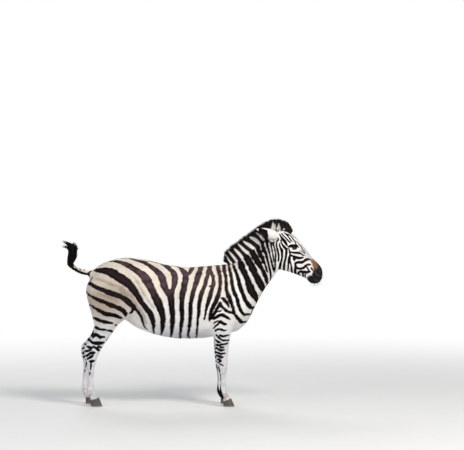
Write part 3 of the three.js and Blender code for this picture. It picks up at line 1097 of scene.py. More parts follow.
    def lids(self, p: Array) -> Array:
        """Opens the skin over each eye in an almond and rolls its edge into two lids.

        In directions seen from the eye's middle, q is the squared distance from the opening's middle,
        each axis measured in the almond's half length and half height. Inside q = 1 the skin sinks
        behind the ball; outside it stands a lid's thickness over it.

        Args:
            p: places in table millimetres.

        Returns:
            The moved places.
        """
        links = Links(self.mesh)
        for side in Side:
            centre = np.array(self.eye) * side.flip
            out, level, up = self.eye_axes(side)
            away = p - centre
            reach = np.linalg.norm(away, axis=1)
            way = away / np.maximum(reach, 1e-6)[:, None]
            front = (way @ out > 0.05) & (reach < 52)
            a, b = np.arctan2(way @ level, way @ out), np.arctan2(way @ up, way @ out) + 0.10
            tall = np.where(b > 0, 0.50, 0.38) * (1 - 0.25 * np.clip(a, 0, 1))
            q = (a / 0.98) ** 2 + (b / tall) ** 2
            rim = self.eye_radius + self.lid + 1.4 * bell(q - 1.5, 0.5) - 2.0 * bell(q - 3.4, 0.9) * (b > 0)
            hold = step(9.0, 4.0, q)
            outer = np.maximum(reach, rim * hold + reach * (1 - hold))
            outer = rim + (outer - rim) * step(1.8, 2.6, q)
            sunk = np.interp(q, (0.62, 0.80, 1.0, 1.25), (-5.0, -2.5, self.lid * 0.6, self.lid))
            target = np.where(q < 1.25, sunk + self.eye_radius, outer)
            p = np.where(front[:, None], centre + way * target[:, None], p)
            p = links.relax(p, 0.5 * (front & (q < 6) & (q > 0.3))[:, None], 3)
        return p

    def eye_axes(self, side: Side, out: tuple[float, float, float] = (0.16, 0.97, 0.10)) -> tuple[Array, Array, Array]:
        """Finds the frame of an eye or of its opening.

        Args:
            side: which eye.
            out: the way out of it on the left side.

        Returns:
            Unit vectors out, along towards the nose, and up across.
        """
        out, level = unit(np.array(out) * side.flip), np.array(self.eye_level)
        level = unit(level - out * (level @ out))
        return out, level, np.cross(level, out) * side.value

    def nostrils_and_lips(self, p: Array, normals: Array) -> Array:
        """Sinks the nostrils, raises their wings and draws the mouth's line.

        Args:
            p: places in table millimetres.
            normals: the skin's normals there.

        Returns:
            The moved places.
        """
        hole, wing, mouth = (np.array(line, dtype=float) for line in NOSTRIL)
        for side in Side:
            local = p * side.flip
            here = near(local, np.vstack((hole, wing, mouth)), 40)
            sunk, edge, line = (line_distance(local[here], form) for form in (hole, wing, mouth))
            rise = -15.0 * step(5.0, -5.0, sunk) + 3.2 * bell(edge, 6.0) * step(0, 5, sunk)
            rise += -5.0 * bell(line, 3.6) + 2.0 * bell(line - 9, 6.0)
            p[here] += normals[here] * rise[:, None]
        return p


# Each coronet on the tables' right legs: [front x, z, back x, z]
CORONETS = {"fore": (356.0, 70.0, 288.0, 46.0), "hind": (-866.0, 78.0, -936.0, 54.0)}
# A nostril's hole, its wing and the mouth's line: (x, y, z, radius)
NOSTRIL = (
    ((1176, 40, 1252, 3.5), (1163, 47, 1240, 6.5), (1158, 49, 1226, 7.5)),
    ((1182, 38, 1262, 2), (1150, 50, 1256, 3), (1142, 53, 1232, 3), (1160, 52, 1208, 3)),
    ((1203, 8, 1178, 0.5), (1188, 30, 1172, 0.5), (1150, 46, 1168, 0.5), (1104, 52, 1178, 0.5)),
)


# ---------------------------------------------------------------- the markings
# Each mark is a line of (x, z, width) in millimetres: x and z where the line of sight from the
# camera's stand meets the middle plane, and the width of the dark mark there.

QUARTERS: tuple[Marks, ...] = (
    ((-915, 1262, 8), (-890, 1256, 34), (-850, 1254, 52), (-800, 1250, 62), (-750, 1234, 76), (-700, 1200, 74),
     (-650, 1168, 78), (-600, 1134, 72), (-560, 1092, 62), (-528, 1048, 54), (-498, 1000, 46), (-470, 950, 43),
     (-427, 900, 44), (-391, 850, 50), (-373, 800, 46), (-362, 750, 34), (-362, 700, 14), (-352, 662, 6)),
    ((-978, 1152, 20), (-950, 1130, 26), (-900, 1100, 28), (-850, 1078, 33), (-800, 1058, 38), (-750, 1036, 42),
     (-700, 1023, 43), (-650, 998, 42), (-600, 965, 50), (-550, 918, 42), (-530, 895, 26), (-491, 850, 22),
     (-470, 800, 22), (-452, 750, 14), (-435, 715, 9), (-415, 700, 6)),
    ((-550, 918, 26), (-548, 905, 24), (-556, 875, 20), (-578, 852, 8)),
    ((-872, 1304, 3), (-830, 1319, 4), (-790, 1330, 5), (-752, 1335, 10), (-715, 1335, 22), (-690, 1330, 30)),
    ((-640, 1366, 4), (-600, 1364, 6), (-550, 1358, 8), (-500, 1345, 18), (-450, 1336, 20), (-415, 1328, 8)),
    ((-398, 1337, 3), (-357, 1328, 5), (-316, 1316, 8), (-285, 1307, 12), (-250, 1296, 20), (-222, 1282, 22)),
    ((-978, 1047, 10), (-950, 1022, 14), (-900, 992, 24), (-850, 969, 28), (-800, 948, 31), (-750, 925, 35),
     (-700, 910, 32), (-650, 882, 36), (-630, 865, 36), (-615, 843, 22), (-618, 828, 8)),
    ((-940, 928, 8), (-900, 899, 20), (-850, 870, 30), (-800, 846, 34), (-750, 838, 34), (-700, 827, 28),
     (-675, 815, 22), (-655, 805, 8)),
    ((-922, 814, 12), (-900, 803, 20), (-875, 794, 28), (-850, 782, 27), (-800, 770, 22), (-750, 763, 14),
     (-735, 760, 6)),
    ((-715, 748, 10), (-700, 738, 6)),
    ((-905, 728, 14), (-888, 718, 22), (-860, 706, 14), (-800, 698, 10), (-760, 690, 15), (-742, 682, 12)),
    ((-930, 1185, 8), (-942, 1155, 10)),
    ((-955, 1200, 12), (-952, 1230, 14), (-935, 1246, 8)),
)
BARREL: tuple[Marks, ...] = (
    ((-835, 1320, 5), (-790, 1333, 10), (-750, 1338, 14), (-700, 1336, 38), (-650, 1322, 44), (-600, 1299, 56),
     (-550, 1271, 55), (-505, 1243, 58), (-450, 1200, 78), (-418, 1150, 84), (-390, 1100, 72), (-365, 1050, 64),
     (-341, 1000, 70), (-318, 950, 72), (-296, 900, 66), (-282, 850, 56), (-273, 800, 46), (-276, 750, 38),
     (-279, 700, 27), (-286, 655, 8)),
    ((-660, 1369, 6), (-600, 1366, 16), (-550, 1352, 30), (-500, 1337, 36), (-450, 1322, 42), (-400, 1297, 45),
     (-350, 1262, 50), (-310, 1225, 58), (-285, 1190, 66), (-272, 1150, 68), (-260, 1100, 60), (-235, 1060, 56),
     (-205, 1020, 58), (-196, 975, 58), (-190, 900, 54), (-184, 850, 46), (-185, 800, 42), (-186, 750, 40),
     (-190, 700, 28), (-194, 650, 16), (-193, 622, 10)),
    ((-395, 1341, 6), (-350, 1331, 12), (-300, 1313, 18), (-255, 1290, 32), (-215, 1265, 44), (-183, 1240, 54),
     (-163, 1200, 56), (-164, 1150, 50), (-172, 1100, 38), (-186, 1055, 34), (-196, 1020, 40)),
    ((-235, 1318, 20), (-215, 1275, 40)),
    ((-182, 1292, 10), (-140, 1284, 20), (-105, 1268, 36), (-80, 1240, 50), (-62, 1205, 54), (-66, 1150, 54),
     (-76, 1100, 50), (-86, 1050, 52), (-95, 1000, 48), (-99, 950, 42), (-99, 900, 40), (-96, 850, 38),
     (-95, 800, 36), (-101, 750, 32), (-107, 700, 20), (-112, 650, 16), (-105, 620, 18)),
    ((5, 1287, 40), (-5, 1262, 36), (-22, 1235, 28), (-38, 1212, 20)),
    ((84, 1292, 44), (72, 1250, 44), (54, 1200, 48), (40, 1150, 46), (23, 1100, 40), (9, 1050, 36), (-5, 1000, 38),
     (-14, 950, 34), (-18, 900, 33), (-18, 850, 32), (-20, 800, 28), (-24, 750, 24), (-32, 700, 20), (-38, 660, 16),
     (-33, 632, 14), (-10, 620, 12)),
    ((162, 1302, 34), (160, 1265, 42), (150, 1230, 44), (140, 1200, 26), (125, 1150, 32), (111, 1100, 28),
     (90, 1050, 34), (74, 1000, 36), (65, 950, 33), (61, 900, 32), (60, 850, 28), (51, 800, 18), (49, 750, 18),
     (43, 700, 13), (42, 650, 10)),
    ((158, 1245, 36), (178, 1225, 26), (192, 1195, 22), (195, 1150, 27), (193, 1100, 28), (174, 1050, 32),
     (160, 1000, 35), (146, 950, 30), (130, 900, 22), (121, 850, 15), (110, 800, 8)),
    ((160, 1103, 5), (178, 1102, 8)),
    ((233, 1300, 32), (243, 1250, 32), (255, 1200, 30), (259, 1150, 28), (257, 1100, 27), (249, 1050, 32),
     (232, 1000, 38), (211, 950, 35), (186, 900, 30), (170, 850, 28), (162, 805, 18), (158, 780, 8)),
    ((292, 1303, 34), (296, 1250, 28), (308, 1200, 26), (313, 1150, 26), (314, 1100, 27), (320, 1050, 30),
     (342, 1000, 33), (361, 950, 28), (378, 900, 23), (390, 855, 20), (408, 822, 24), (432, 795, 28), (455, 770, 24)),
    ((337, 1303, 16), (346, 1250, 22), (358, 1200, 27), (365, 1150, 28), (372, 1100, 27), (387, 1050, 30),
     (411, 1000, 28), (422, 950, 29), (438, 900, 27), (462, 860, 26), (480, 840, 22)),
    ((378, 1308, 10), (388, 1280, 22), (399, 1250, 24), (418, 1200, 28), (431, 1150, 30), (442, 1100, 32),
     (460, 1050, 36), (478, 1000, 40), (503, 955, 42), (528, 922, 40), (550, 905, 28)),
    ((555, 880, 14), (545, 850, 12)),
)
SHOULDER: tuple[Marks, ...] = (
    ((272, 993, 14), (290, 985, 22), (310, 962, 26), (328, 935, 24), (342, 905, 10)),
    ((258, 957, 10), (265, 930, 18), (275, 915, 24), (300, 890, 24), (325, 872, 22), (350, 862, 16), (375, 851, 14),
     (395, 842, 12)),
    ((258, 955, 10), (240, 916, 22), (224, 884, 22), (205, 856, 24), (187, 824, 24), (173, 802, 18)),
    ((231, 875, 10), (250, 872, 12), (268, 879, 10)),
    ((201, 799, 12), (222, 813, 20), (240, 827, 24), (262, 838, 26), (283, 836, 26), (304, 824, 24), (326, 810, 18),
     (351, 797, 10)),
    ((199, 714, 10), (215, 733, 14), (236, 751, 14), (254, 774, 22), (272, 767, 24), (290, 755, 18), (311, 751, 10)),
    ((203, 762, 14), (222, 775, 12), (240, 785, 6)),
)
NECK: tuple[Marks, ...] = (
    ((437, 1345, 34), (456, 1300, 54), (475, 1250, 46), (498, 1200, 44), (518, 1150, 54), (533, 1100, 64),
     (556, 1050, 70), (585, 1008, 54), (602, 975, 30), (610, 952, 10)),
    ((490, 1392, 44), (520, 1350, 56), (545, 1300, 58), (570, 1250, 56), (595, 1200, 52), (619, 1150, 58),
     (648, 1100, 56), (664, 1075, 40), (672, 1061, 12)),
    ((552, 1432, 50), (568, 1400, 50), (598, 1350, 52), (628, 1300, 40), (654, 1250, 33), (677, 1200, 32),
     (692, 1150, 24), (705, 1115, 12)),
    ((603, 1478, 44), (612, 1450, 36), (634, 1400, 38), (657, 1350, 26), (677, 1300, 18), (690, 1262, 13),
     (698, 1238, 5)),
    ((648, 1525, 40), (652, 1495, 28), (663, 1450, 34), (686, 1400, 23), (697, 1350, 18), (710, 1300, 15),
     (721, 1250, 14), (728, 1200, 14), (725, 1165, 8)),
    ((690, 1545, 20), (692, 1520, 24), (698, 1480, 20), (710, 1440, 16), (719, 1400, 11), (728, 1360, 13),
     (738, 1320, 14), (748, 1280, 15), (759, 1245, 9)),
    # Its wide top at z 1530 takes in the black under the ear's base, partly painted shadow cast by the ear
    ((730, 1530, 26), (730, 1500, 14), (731, 1480, 8), (741, 1440, 10), (747, 1400, 9), (754, 1365, 9),
     (757, 1330, 5)),
    ((744, 1512, 13), (752, 1492, 9), (756, 1480, 8), (768, 1440, 10), (773, 1400, 10), (772, 1360, 9),
     (769, 1320, 9), (768, 1280, 7), (768, 1258, 5)),
    # Black under the ear's base: partly the tops of the neck's stripes, partly painted shadow cast by the ear
    ((702, 1536, 12), (722, 1524, 20), (745, 1517, 14), (760, 1513, 8)),
    ((783, 1515, 6), (780, 1490, 8), (783, 1465, 10), (790, 1440, 12), (798, 1400, 10), (799, 1360, 9),
     (797, 1335, 5)),
)
HEAD: tuple[Marks, ...] = (
    ((806, 1502, 5), (807, 1482, 10), (815, 1460, 13), (828, 1435, 18), (830, 1400, 14), (829, 1360, 12),
     (818, 1322, 14), (810, 1280, 16), (805, 1252, 13)),
    ((820, 1532, 8), (824, 1508, 9), (840, 1480, 13), (858, 1460, 16), (870, 1440, 16), (868, 1400, 15),
     (863, 1360, 12), (852, 1320, 13), (848, 1280, 15), (846, 1242, 13)),
    ((810, 1586, 12), (820, 1564, 14), (832, 1546, 17), (850, 1526, 18), (864, 1505, 17), (874, 1488, 12),
     (880, 1478, 7)),
    ((826, 1592, 8), (843, 1571, 9), (860, 1556, 9), (873, 1543, 9), (886, 1527, 9), (897, 1516, 9), (909, 1509, 8)),
    ((850, 1600, 8), (868, 1586, 10), (880, 1574, 11), (893, 1557, 9), (905, 1540, 9), (913, 1528, 8),
     (929, 1519, 5)),
    ((884, 1588, 8), (904, 1574, 9), (922, 1557, 9), (931, 1542, 8), (942, 1530, 8), (950, 1518, 8), (955, 1503, 7),
     (956, 1492, 5)),
    ((778, 1549, 4), (790, 1551, 7), (797, 1540, 8), (792, 1528, 8), (782, 1524, 5)),
    ((888, 1466, 6), (900, 1475, 16), (925, 1479, 20), (955, 1479, 17), (974, 1472, 9), (984, 1462, 4)),
    ((961, 1494, 4), (972, 1481, 5), (980, 1468, 4)),
    ((884, 1456, 6), (896, 1446, 7), (900, 1425, 10), (920, 1418, 11), (945, 1415, 12), (968, 1414, 14),
     (988, 1410, 13), (1003, 1407, 10), (1015, 1398, 8), (1027, 1391, 7), (1039, 1387, 4)),
    ((897, 1440, 6), (900, 1420, 8), (905, 1397, 11), (900, 1378, 14), (898, 1360, 19), (895, 1338, 18),
     (890, 1318, 11), (887, 1280, 9), (884, 1250, 9), (882, 1228, 8)),
    ((900, 1345, 14), (908, 1322, 10), (916, 1290, 10), (919, 1260, 13), (920, 1235, 15), (917, 1214, 10)),
    ((905, 1395, 11), (920, 1388, 12), (937, 1381, 13), (954, 1374, 17), (973, 1368, 18), (993, 1365, 15),
     (1012, 1367, 12), (1028, 1371, 6)),
    ((944, 1372, 18), (943, 1355, 20), (945, 1343, 8)),
    ((955, 1318, 16), (971, 1324, 17), (988, 1326, 18), (1008, 1325, 20), (1025, 1330, 17), (1038, 1340, 17),
     (1050, 1350, 19), (1063, 1352, 17), (1077, 1353, 12), (1090, 1353, 7)),
    ((955, 1320, 12), (954, 1300, 14), (961, 1280, 15), (973, 1271, 14), (993, 1268, 15), (1015, 1270, 15),
     (1032, 1276, 16), (1043, 1288, 14), (1052, 1297, 13), (1066, 1303, 14), (1080, 1305, 14), (1094, 1303, 8)),
    ((955, 1290, 14), (953, 1265, 15), (951, 1240, 17), (957, 1212, 16)),
    ((1050, 1288, 10), (1063, 1276, 10), (1073, 1261, 9), (1079, 1247, 9), (1088, 1241, 7)),
    ((1100, 1275, 8), (1106, 1266, 10), (1110, 1256, 10)),
    ((1090, 1239, 8), (1059, 1235, 17), (1037, 1237, 17), (1015, 1239, 17), (995, 1240, 15), (982, 1231, 13),
     (984, 1216, 14), (994, 1205, 9)),
    ((1024, 1224, 12), (1026, 1206, 12), (1024, 1190, 10)),
    ((1046, 1218, 8), (1045, 1200, 8), (1044, 1186, 8)),
    ((966, 1519, 6), (981, 1500, 8), (993, 1486, 9), (1005, 1471, 8), (1012, 1457, 7), (1020, 1444, 6),
     (1030, 1434, 5), (1044, 1416, 3)),
    ((905, 1588, 3), (937, 1563, 5), (959, 1547, 5), (980, 1530, 4), (992, 1517, 2)),
    ((1000, 1442, 3), (1012, 1427, 5), (1027, 1419, 5), (1038, 1407, 4)),
    ((986, 1433, 3), (992, 1423, 5), (990, 1414, 4)),
)
FORELEG: tuple[Marks, ...] = (
    ((215, 693, 8), (234, 705, 12), (253, 710, 14), (272, 703, 13), (291, 696, 10), (306, 695, 8), (320, 701, 5)),
    ((251, 651, 8), (268, 643, 13), (287, 642, 14), (306, 645, 12), (325, 650, 9), (336, 651, 6)),
    ((220, 653, 8), (234, 639, 10), (249, 625, 12), (263, 613, 12), (277, 604, 13), (291, 602, 12), (313, 603, 10),
     (336, 603, 8)),
    ((215, 605, 8), (230, 594, 10), (246, 585, 12), (258, 588, 8)),
    ((220, 560, 10), (234, 557, 13), (249, 558, 13), (268, 565, 12), (287, 567, 11), (306, 569, 11), (325, 575, 8)),
    ((258, 539, 10), (272, 538, 12), (289, 540, 8)),
    ((213, 529, 10), (230, 527, 12), (244, 517, 14), (263, 510, 15), (280, 510, 13), (294, 517, 8)),
    ((218, 491, 8), (234, 487, 11), (251, 482, 11), (270, 476, 12), (282, 482, 8), (299, 482, 6)),
    ((220, 463, 10), (234, 458, 13), (253, 453, 14), (270, 446, 12), (280, 449, 8)),
    ((223, 425, 8), (239, 426, 12), (251, 420, 13), (261, 411, 14)),
    ((225, 392, 6), (244, 396, 7)),
    ((258, 380, 9), (282, 368, 9)),
    # Down the back of the cannon and pastern: partly a dark tendon line, partly painted shade on the leg's back
    ((240, 350, 10), (246, 300, 14), (252, 220, 13), (252, 150, 16), (258, 110, 20), (278, 62, 16)),
)
HINDLEG: tuple[Marks, ...] = (
    ((-931, 633, 12), (-917, 642, 16), (-903, 654, 20), (-886, 654, 20), (-872, 645, 18), (-860, 635, 16),
     (-848, 630, 12), (-836, 637, 8), (-819, 633, 10)),
    ((-933, 659, 14), (-924, 668, 12)),
    ((-962, 611, 16), (-952, 604, 12), (-941, 590, 12), (-922, 580, 14), (-900, 578, 20), (-881, 578, 22),
     (-862, 578, 20), (-843, 579, 16), (-827, 583, 8)),
    ((-796, 583, 10), (-781, 609, 10)),
    ((-974, 542, 12), (-960, 538, 14), (-941, 533, 14), (-927, 533, 8)),
    ((-917, 545, 10), (-903, 535, 12), (-891, 528, 14), (-879, 516, 16), (-869, 509, 10)),
    ((-874, 547, 8), (-836, 528, 8)),
    ((-993, 500, 10), (-974, 502, 12), (-955, 509, 10), (-936, 514, 6)),
    ((-986, 455, 10), (-969, 466, 12), (-955, 478, 13), (-938, 488, 15), (-922, 488, 15), (-912, 485, 10)),
    ((-974, 426, 10), (-960, 438, 12), (-945, 447, 13), (-933, 457, 12), (-924, 462, 6)),
    ((-950, 405, 12), (-933, 408, 14), (-917, 411, 10)),
    ((-943, 390, 8), (-944, 355, 7), (-948, 330, 5)),
    ((-953, 300, 6), (-955, 285, 5)),
)
# Soft brown shadow stripes on the pale ground between the dark ones
SHADOWS: tuple[Marks, ...] = (
    ((-890, 1175, 16), (-800, 1145, 22), (-740, 1120, 24), (-680, 1105, 18)),
    ((-655, 1080, 60), (-615, 1020, 50)),
    ((-600, 1050, 24), (-560, 1000, 30), (-520, 930, 34), (-460, 850, 34), (-430, 760, 24)),
    ((-540, 1190, 12), (-500, 1130, 14), (-430, 1000, 14), (-360, 900, 12)),
    ((-880, 1040, 10), (-780, 1000, 14), (-690, 968, 14)),
)
# Solid black places of the muzzle, and the brown patch on the nose
MUZZLE: tuple[Marks, ...] = (
    ((1146, 1338, 10), (1162, 1318, 20), (1178, 1296, 34), (1186, 1270, 56), (1178, 1240, 76), (1166, 1210, 92),
     (1160, 1180, 92)),
    ((1150, 1176, 92), (1120, 1170, 88), (1098, 1172, 66), (1088, 1184, 44)),
    ((1146, 1262, 16), (1134, 1248, 40), (1132, 1230, 48), (1126, 1210, 46)),
)
NOSE_PATCH: tuple[Marks, ...] = (
    ((1096, 1350, 14), (1120, 1330, 34), (1134, 1306, 48), (1140, 1284, 44), (1136, 1272, 28)),
    ((1096, 1350, 14), (1130, 1345, 16), (1160, 1320, 22)),
    ((1146, 1322, 44), (1164, 1290, 60)),
)
# Painted highlights on the black muzzle: the nostril's lower rim, a spot beside the nostril, and the lower lip's edge
MUZZLE_HIGHLIGHTS: tuple[Marks, ...] = (
    ((1138, 1246, 6), (1142, 1228, 9), (1154, 1213, 10), (1172, 1202, 7)),
    ((1176, 1244, 7), (1178, 1240, 7)),
    ((1126, 1175, 4), (1142, 1162, 6), (1167, 1149, 4)),
)


def in_plane(x: Array, z: Array, *more: Array) -> Array:
    """Places in the middle plane, with more columns after them."""
    return np.column_stack((x, 0 * x, z, *more))


def flat_tubes(lines: tuple[Marks, ...], gain: float = 1.0, extra: float = 0.0) -> list[Array]:
    """Marks as tubes in the middle plane, their widths multiplied by gain with extra added."""
    rows = [curve(line, 8.0).T for line in lines]
    return [in_plane(x, z, (width * gain + extra) / 2) for x, z, width in rows]


# Each table of the body with what its widths are multiplied by and what is added to them
STROKES = ((QUARTERS, 1.0, 9.5), (BARREL, 0.90, 10.5), (SHOULDER, 1.0, 6.0), (NECK, 1.06, 7.0), (HEAD, 1.45, 1.8))
# Lines along the middle of the back, the belly and the dock's underside: (from x, to x, spacing, half width, ray)
MIDLINES = ((-900, 400, 30, 9.0, -1.0), (-380, 170, 40, 8.0, 1.0), (-1135, -950, 12, 30.0, 1.0))


# Thin lines down the forehead: (x, distance from the middle plane, width)
FOREHEAD: tuple[Marks, ...] = (
    ((886, 5, 9), (925, 9, 11), (965, 11, 9), (1010, 9, 7), (1060, 6, 5), (1092, 4, 3)),
    ((886, 21, 10), (925, 26, 12), (962, 29, 10), (1005, 24, 7), (1050, 17, 5), (1085, 13, 3)),
)
# Pale locks of the mane from root to tip, in the side view
MANE_LOCKS: tuple[Marks, ...] = (
    ((300, 1402, 5), (318, 1376, 9), (345, 1338, 12), (366, 1308, 14), (372, 1292, 10)),
    ((330, 1436, 6), (348, 1414, 12), (372, 1386, 16), (398, 1354, 20), (414, 1328, 14)),
    ((380, 1464, 6), (404, 1436, 15), (434, 1402, 21), (460, 1370, 23), (474, 1350, 14)),
    ((418, 1502, 6), (448, 1470, 15), (484, 1436, 21), (514, 1408, 22), (532, 1388, 14)),
    ((462, 1526, 7), (492, 1507, 17), (532, 1480, 23), (566, 1456, 24), (588, 1436, 14)),
    ((504, 1556, 7), (536, 1554, 16), (574, 1540, 26), (604, 1516, 24), (628, 1484, 14)),
    ((582, 1606, 5), (610, 1584, 11), (640, 1558, 16), (664, 1530, 16), (670, 1508, 10)),
    ((600, 1640, 4), (622, 1640, 7), (648, 1632, 10)),
    ((746, 1702, 5), (744, 1672, 15), (744, 1640, 21), (742, 1606, 22)),
    ((766, 1682, 4), (762, 1654, 8), (758, 1614, 10)),
    ((800, 1684, 5), (792, 1654, 12), (782, 1618, 14)),
    ((818, 1664, 4), (810, 1640, 6), (804, 1600, 8)),
    ((866, 1650, 4), (846, 1634, 8), (830, 1614, 12), (824, 1590, 14)),
)


@dataclass(frozen=True)
class Palette:
    """The coat's colours, as seen on a screen in steps of 255."""

    dust: Colour = (168, 142, 116)
    # Grey of the painted highlights on the black muzzle
    rim: Colour = (84, 80, 84)
    umber: Colour = (64, 36, 24)
    white: Colour = (253, 248, 245)
    cream: Colour = (253, 239, 220)
    buff: Colour = (194, 177, 161)
    # A cool pale grey for the lower legs: painted bluish skylight shade over their white
    leg: Colour = (232, 231, 235)
    bridge: Colour = (214, 205, 209)
    shadow: Colour = (150, 122, 100)
    black: Colour = (10, 7, 8)
    # Purple-brown of the trunk's marks: a painted sheen of the sky on the dark hair
    plum: Colour = (50, 34, 41)
    russet: Colour = (34, 21, 22)
    # Lighter purple-brown deep in wide marks: a painted sheen where light falls on the top of the barrel
    mauve: Colour = (100, 76, 82)
    muzzle: Colour = (34, 31, 35)
    nose: Colour = (138, 92, 70)
    skin: Colour = (30, 26, 27)


@dataclass
class Markings:
    """The stripes, carried from the camera's lines of sight onto the skin, and the ground colours."""

    skin: Skin
    stand: "Stand"
    palette: Palette = Palette()
    stray: float = 9.0  # how far the left side's lines wander from the tables, in millimetres
    edge: float = 75.0  # how near to the body's edge a mark ends that runs on over it
    leg: float = 140.0  # distance of the near legs' faces from the middle plane
    tubes: list[Array] = field(default_factory=list)
    shadow_tubes: list[Array] = field(default_factory=list)

    def __post_init__(self) -> None:
        """Carries every mark onto the skin."""
        points, faces = read_points(self.skin.mesh), read_triangles(self.skin.mesh)[0]
        self.tree = BVHTree.FromPolygons(points.tolist(), faces.tolist())
        for side in Side:
            stray = self.stray * (side is Side.LEFT)
            for table, gain, extra in STROKES[:-1]:
                self.tubes += [self.closed_over(self.outer(marks, side, stray, gain, extra)) for marks in table]
            table, gain, extra = STROKES[-1]
            self.tubes += [self.outer(marks, side, stray * 0.3, gain, extra, 6.0) for marks in table]
            self.shadow_tubes += [self.outer(marks, side, stray) for marks in SHADOWS]
            for marks in FOREHEAD:
                x, y, width = curve(marks, 6.0).T
                self.tubes.append(self.dropped(x, side.value * y, width / 2, -1.0))
        for start, end, spacing, half, way in MIDLINES:
            x = np.arange(start, end, spacing, dtype=float)
            self.tubes.append(self.dropped(x, 0 * x, half, way))
        self.bars = {"fore": flat_tubes(FORELEG, 1.35, 5.8), "hind": flat_tubes(HINDLEG, 1.5, 7.0)}
        LOG.info("%d marks carried onto the skin", len(self.tubes))

    def hit(self, start: Array, way: Array, fallback: Array) -> Array:
        """Finds where a ray meets the skin.

        Args:
            start: where the ray starts, in table millimetres.
            way: where it goes.
            fallback: the place whose nearest one of the skin is taken if the ray misses.

        Returns:
            The place, in table millimetres.
        """
        found = self.tree.ray_cast(Vector(place(start)), Vector(unit(way)))[0]
        if found is None:
            found = self.tree.find_nearest(Vector(place(fallback)))[0]
        return table_mm(np.array(found))

    def swept(self, starts: Array, way: tuple[float, float, float], half: Array | float, fallback: Array) -> Array:
        """Sends rays along one way.

        Args:
            starts: where they start, n by 3.
            way: where they go.
            half: half widths of the mark there.
            fallback: places for rays that miss.

        Returns:
            Places on the skin with half widths, n by 4.
        """
        spots = [self.hit(start, np.array(way), spot) for start, spot in zip(starts, fallback + 0 * starts)]
        return np.column_stack((spots, half + 0 * starts[:, 0]))

    def dropped(self, x: Array, y: Array, half: Array | float, way: float) -> Array:
        """A line dropped onto the back (way -1) or raised onto the belly (way 1)."""
        start, inside = (columns(x, y, height) for height in (ABOVE if way < 0 else BELOW, 1300.0))
        return self.swept(start, (0, 0, way), half, inside)

    def outer(self, marks: Marks, side: Side, stray: float, gain: float = 1.0, extra: float = 0.0,
              spacing: float = 14.0) -> Array:
        """A mark on the outer face of a side, by rays from the camera's stand on that side.

        Args:
            marks: the line of the mark.
            side: which side of the animal it lies on.
            stray: how far the line wanders from the table, in millimetres.
            gain: what the widths are multiplied by.
            extra: what is then added to the widths, in millimetres.
            spacing: distance between samples, in millimetres.

        Returns:
            Places on the skin with half widths, k by 4, in table millimetres.
        """
        x, z, width = curve(marks, spacing).T
        seen = in_plane(x, z)
        for axis, length, seed in ((0, 260.0, 21), (2, 240.0, 22)):
            seen[:, axis] += stray * ripple(seen, length, seed)
        eye = self.stand.spot * side.flip
        places = [self.hit(eye, aim - eye, aim + (0, side.value * 30.0, 0)) for aim in seen]
        return np.column_stack((places, (width * gain + extra) / 2))

    def closed_over(self, tube: Array) -> Array:
        """Runs a mark's ends on over the back, round the chest or the rump, or under the belly.

        Args:
            tube: the mark, k by 4.

        Returns:
            The mark, longer where an end comes near the body's edge.
        """
        first, last = tube[0], tube[-1]
        (x, y, z, half), (end_x, end_y, end_z, end_half) = first, last
        top = self.hit(np.array((x, 0, ABOVE)), np.array((0, 0, -1.0)), first[:3])
        front = self.hit(np.array((ABOVE, 0, end_z)), np.array((-1.0, 0, 0)), last[:3])
        before, after = [], []
        if z > top[2] - self.edge and x > -300:
            k = np.array((0.1, 0.4, 0.75))
            before = [self.dropped(x + 0 * k, y * k, half, -1.0)]
        if x < -900 and 760 < z < 1180:
            k = np.array((0.22, 0.4, 0.58, 0.75, 0.9))
            start = columns(-ABOVE, y * k, z + 14 * (1 - k))
            before = [self.swept(start, (1.0, 0, 0), half * (0.5 + 0.5 * k), first[:3])]
        if end_x > front[0] - self.edge and 400 < end_x < 780:
            k = np.array((0.7, 0.35, 0.0))
            start = columns(ABOVE, end_y * k, end_z)
            after = [self.swept(start, (-1.0, 0, 0), end_half * (0.4 + 0.6 * k), last[:3])]
        elif end_z < 720 and -400 < end_x < 180:
            k = np.array((0.75, 0.5, 0.3))
            after = [self.swept(columns(end_x, end_y * k, BELOW), (0, 0, 1.0), np.maximum(end_half * k, 1.5), last[:3])]
        return np.vstack((*before, tube, *after))

    def leg_marks(self, p: Array) -> Array:
        """Distance to the bars of the legs, which run straight across each leg and so close round it.

        Args:
            p: places in table millimetres.

        Returns:
            n distances, below zero inside a bar.
        """
        best = np.full(len(p), FAR)
        stand = self.stand.spot
        for limb in LIMBS:
            there, top = (p[:, 0] > 0, 735) if limb.kind == "fore" else (p[:, 0] < -600, 715)
            here = np.flatnonzero(there & limb.holds(p, top))
            q = p[here]
            inner = step(limb.middle, limb.middle - 30, np.abs(q[:, 1]))
            q[:, 0] -= limb.slide(q[:, 2])
            stray = self.stray * (limb.side is Side.LEFT)
            q[:, 2] += stray * ripple(q, 90.0, 12) + 7 * inner * ripple(q, 60.0, 13)
            aim = stand * (1, 0, 1)
            q = aim + (q - aim) * (1, 0, 1) * stand[1] / (stand[1] - self.leg)
            best[here] = self.gap(q, self.bars[limb.kind]) + 2.0 * inner
        return best

    def gap(self, p: Array, tubes: list[Array], reach: float = FAR) -> Array:
        """Measures how near each place is to the nearest of some tubes.

        Args:
            p: places in table millimetres.
            tubes: the tubes, each k by 4.
            reach: stands for all larger distances.

        Returns:
            n distances, below zero inside a tube.
        """
        order = np.argsort(p[:, 0])
        p = p[order]
        best = np.full(len(p), reach)
        for tube in tubes:
            wide = tube[:, 3].max() + reach
            low, high = np.searchsorted(p[:, 0], (tube[:, 0].min() - wide, tube[:, 0].max() + wide))
            here = low + near(p[low:high], tube, wide)
            if len(here):
                best[here] = np.minimum(best[here], line_distance(p[here], tube))
        return best[np.argsort(order)]

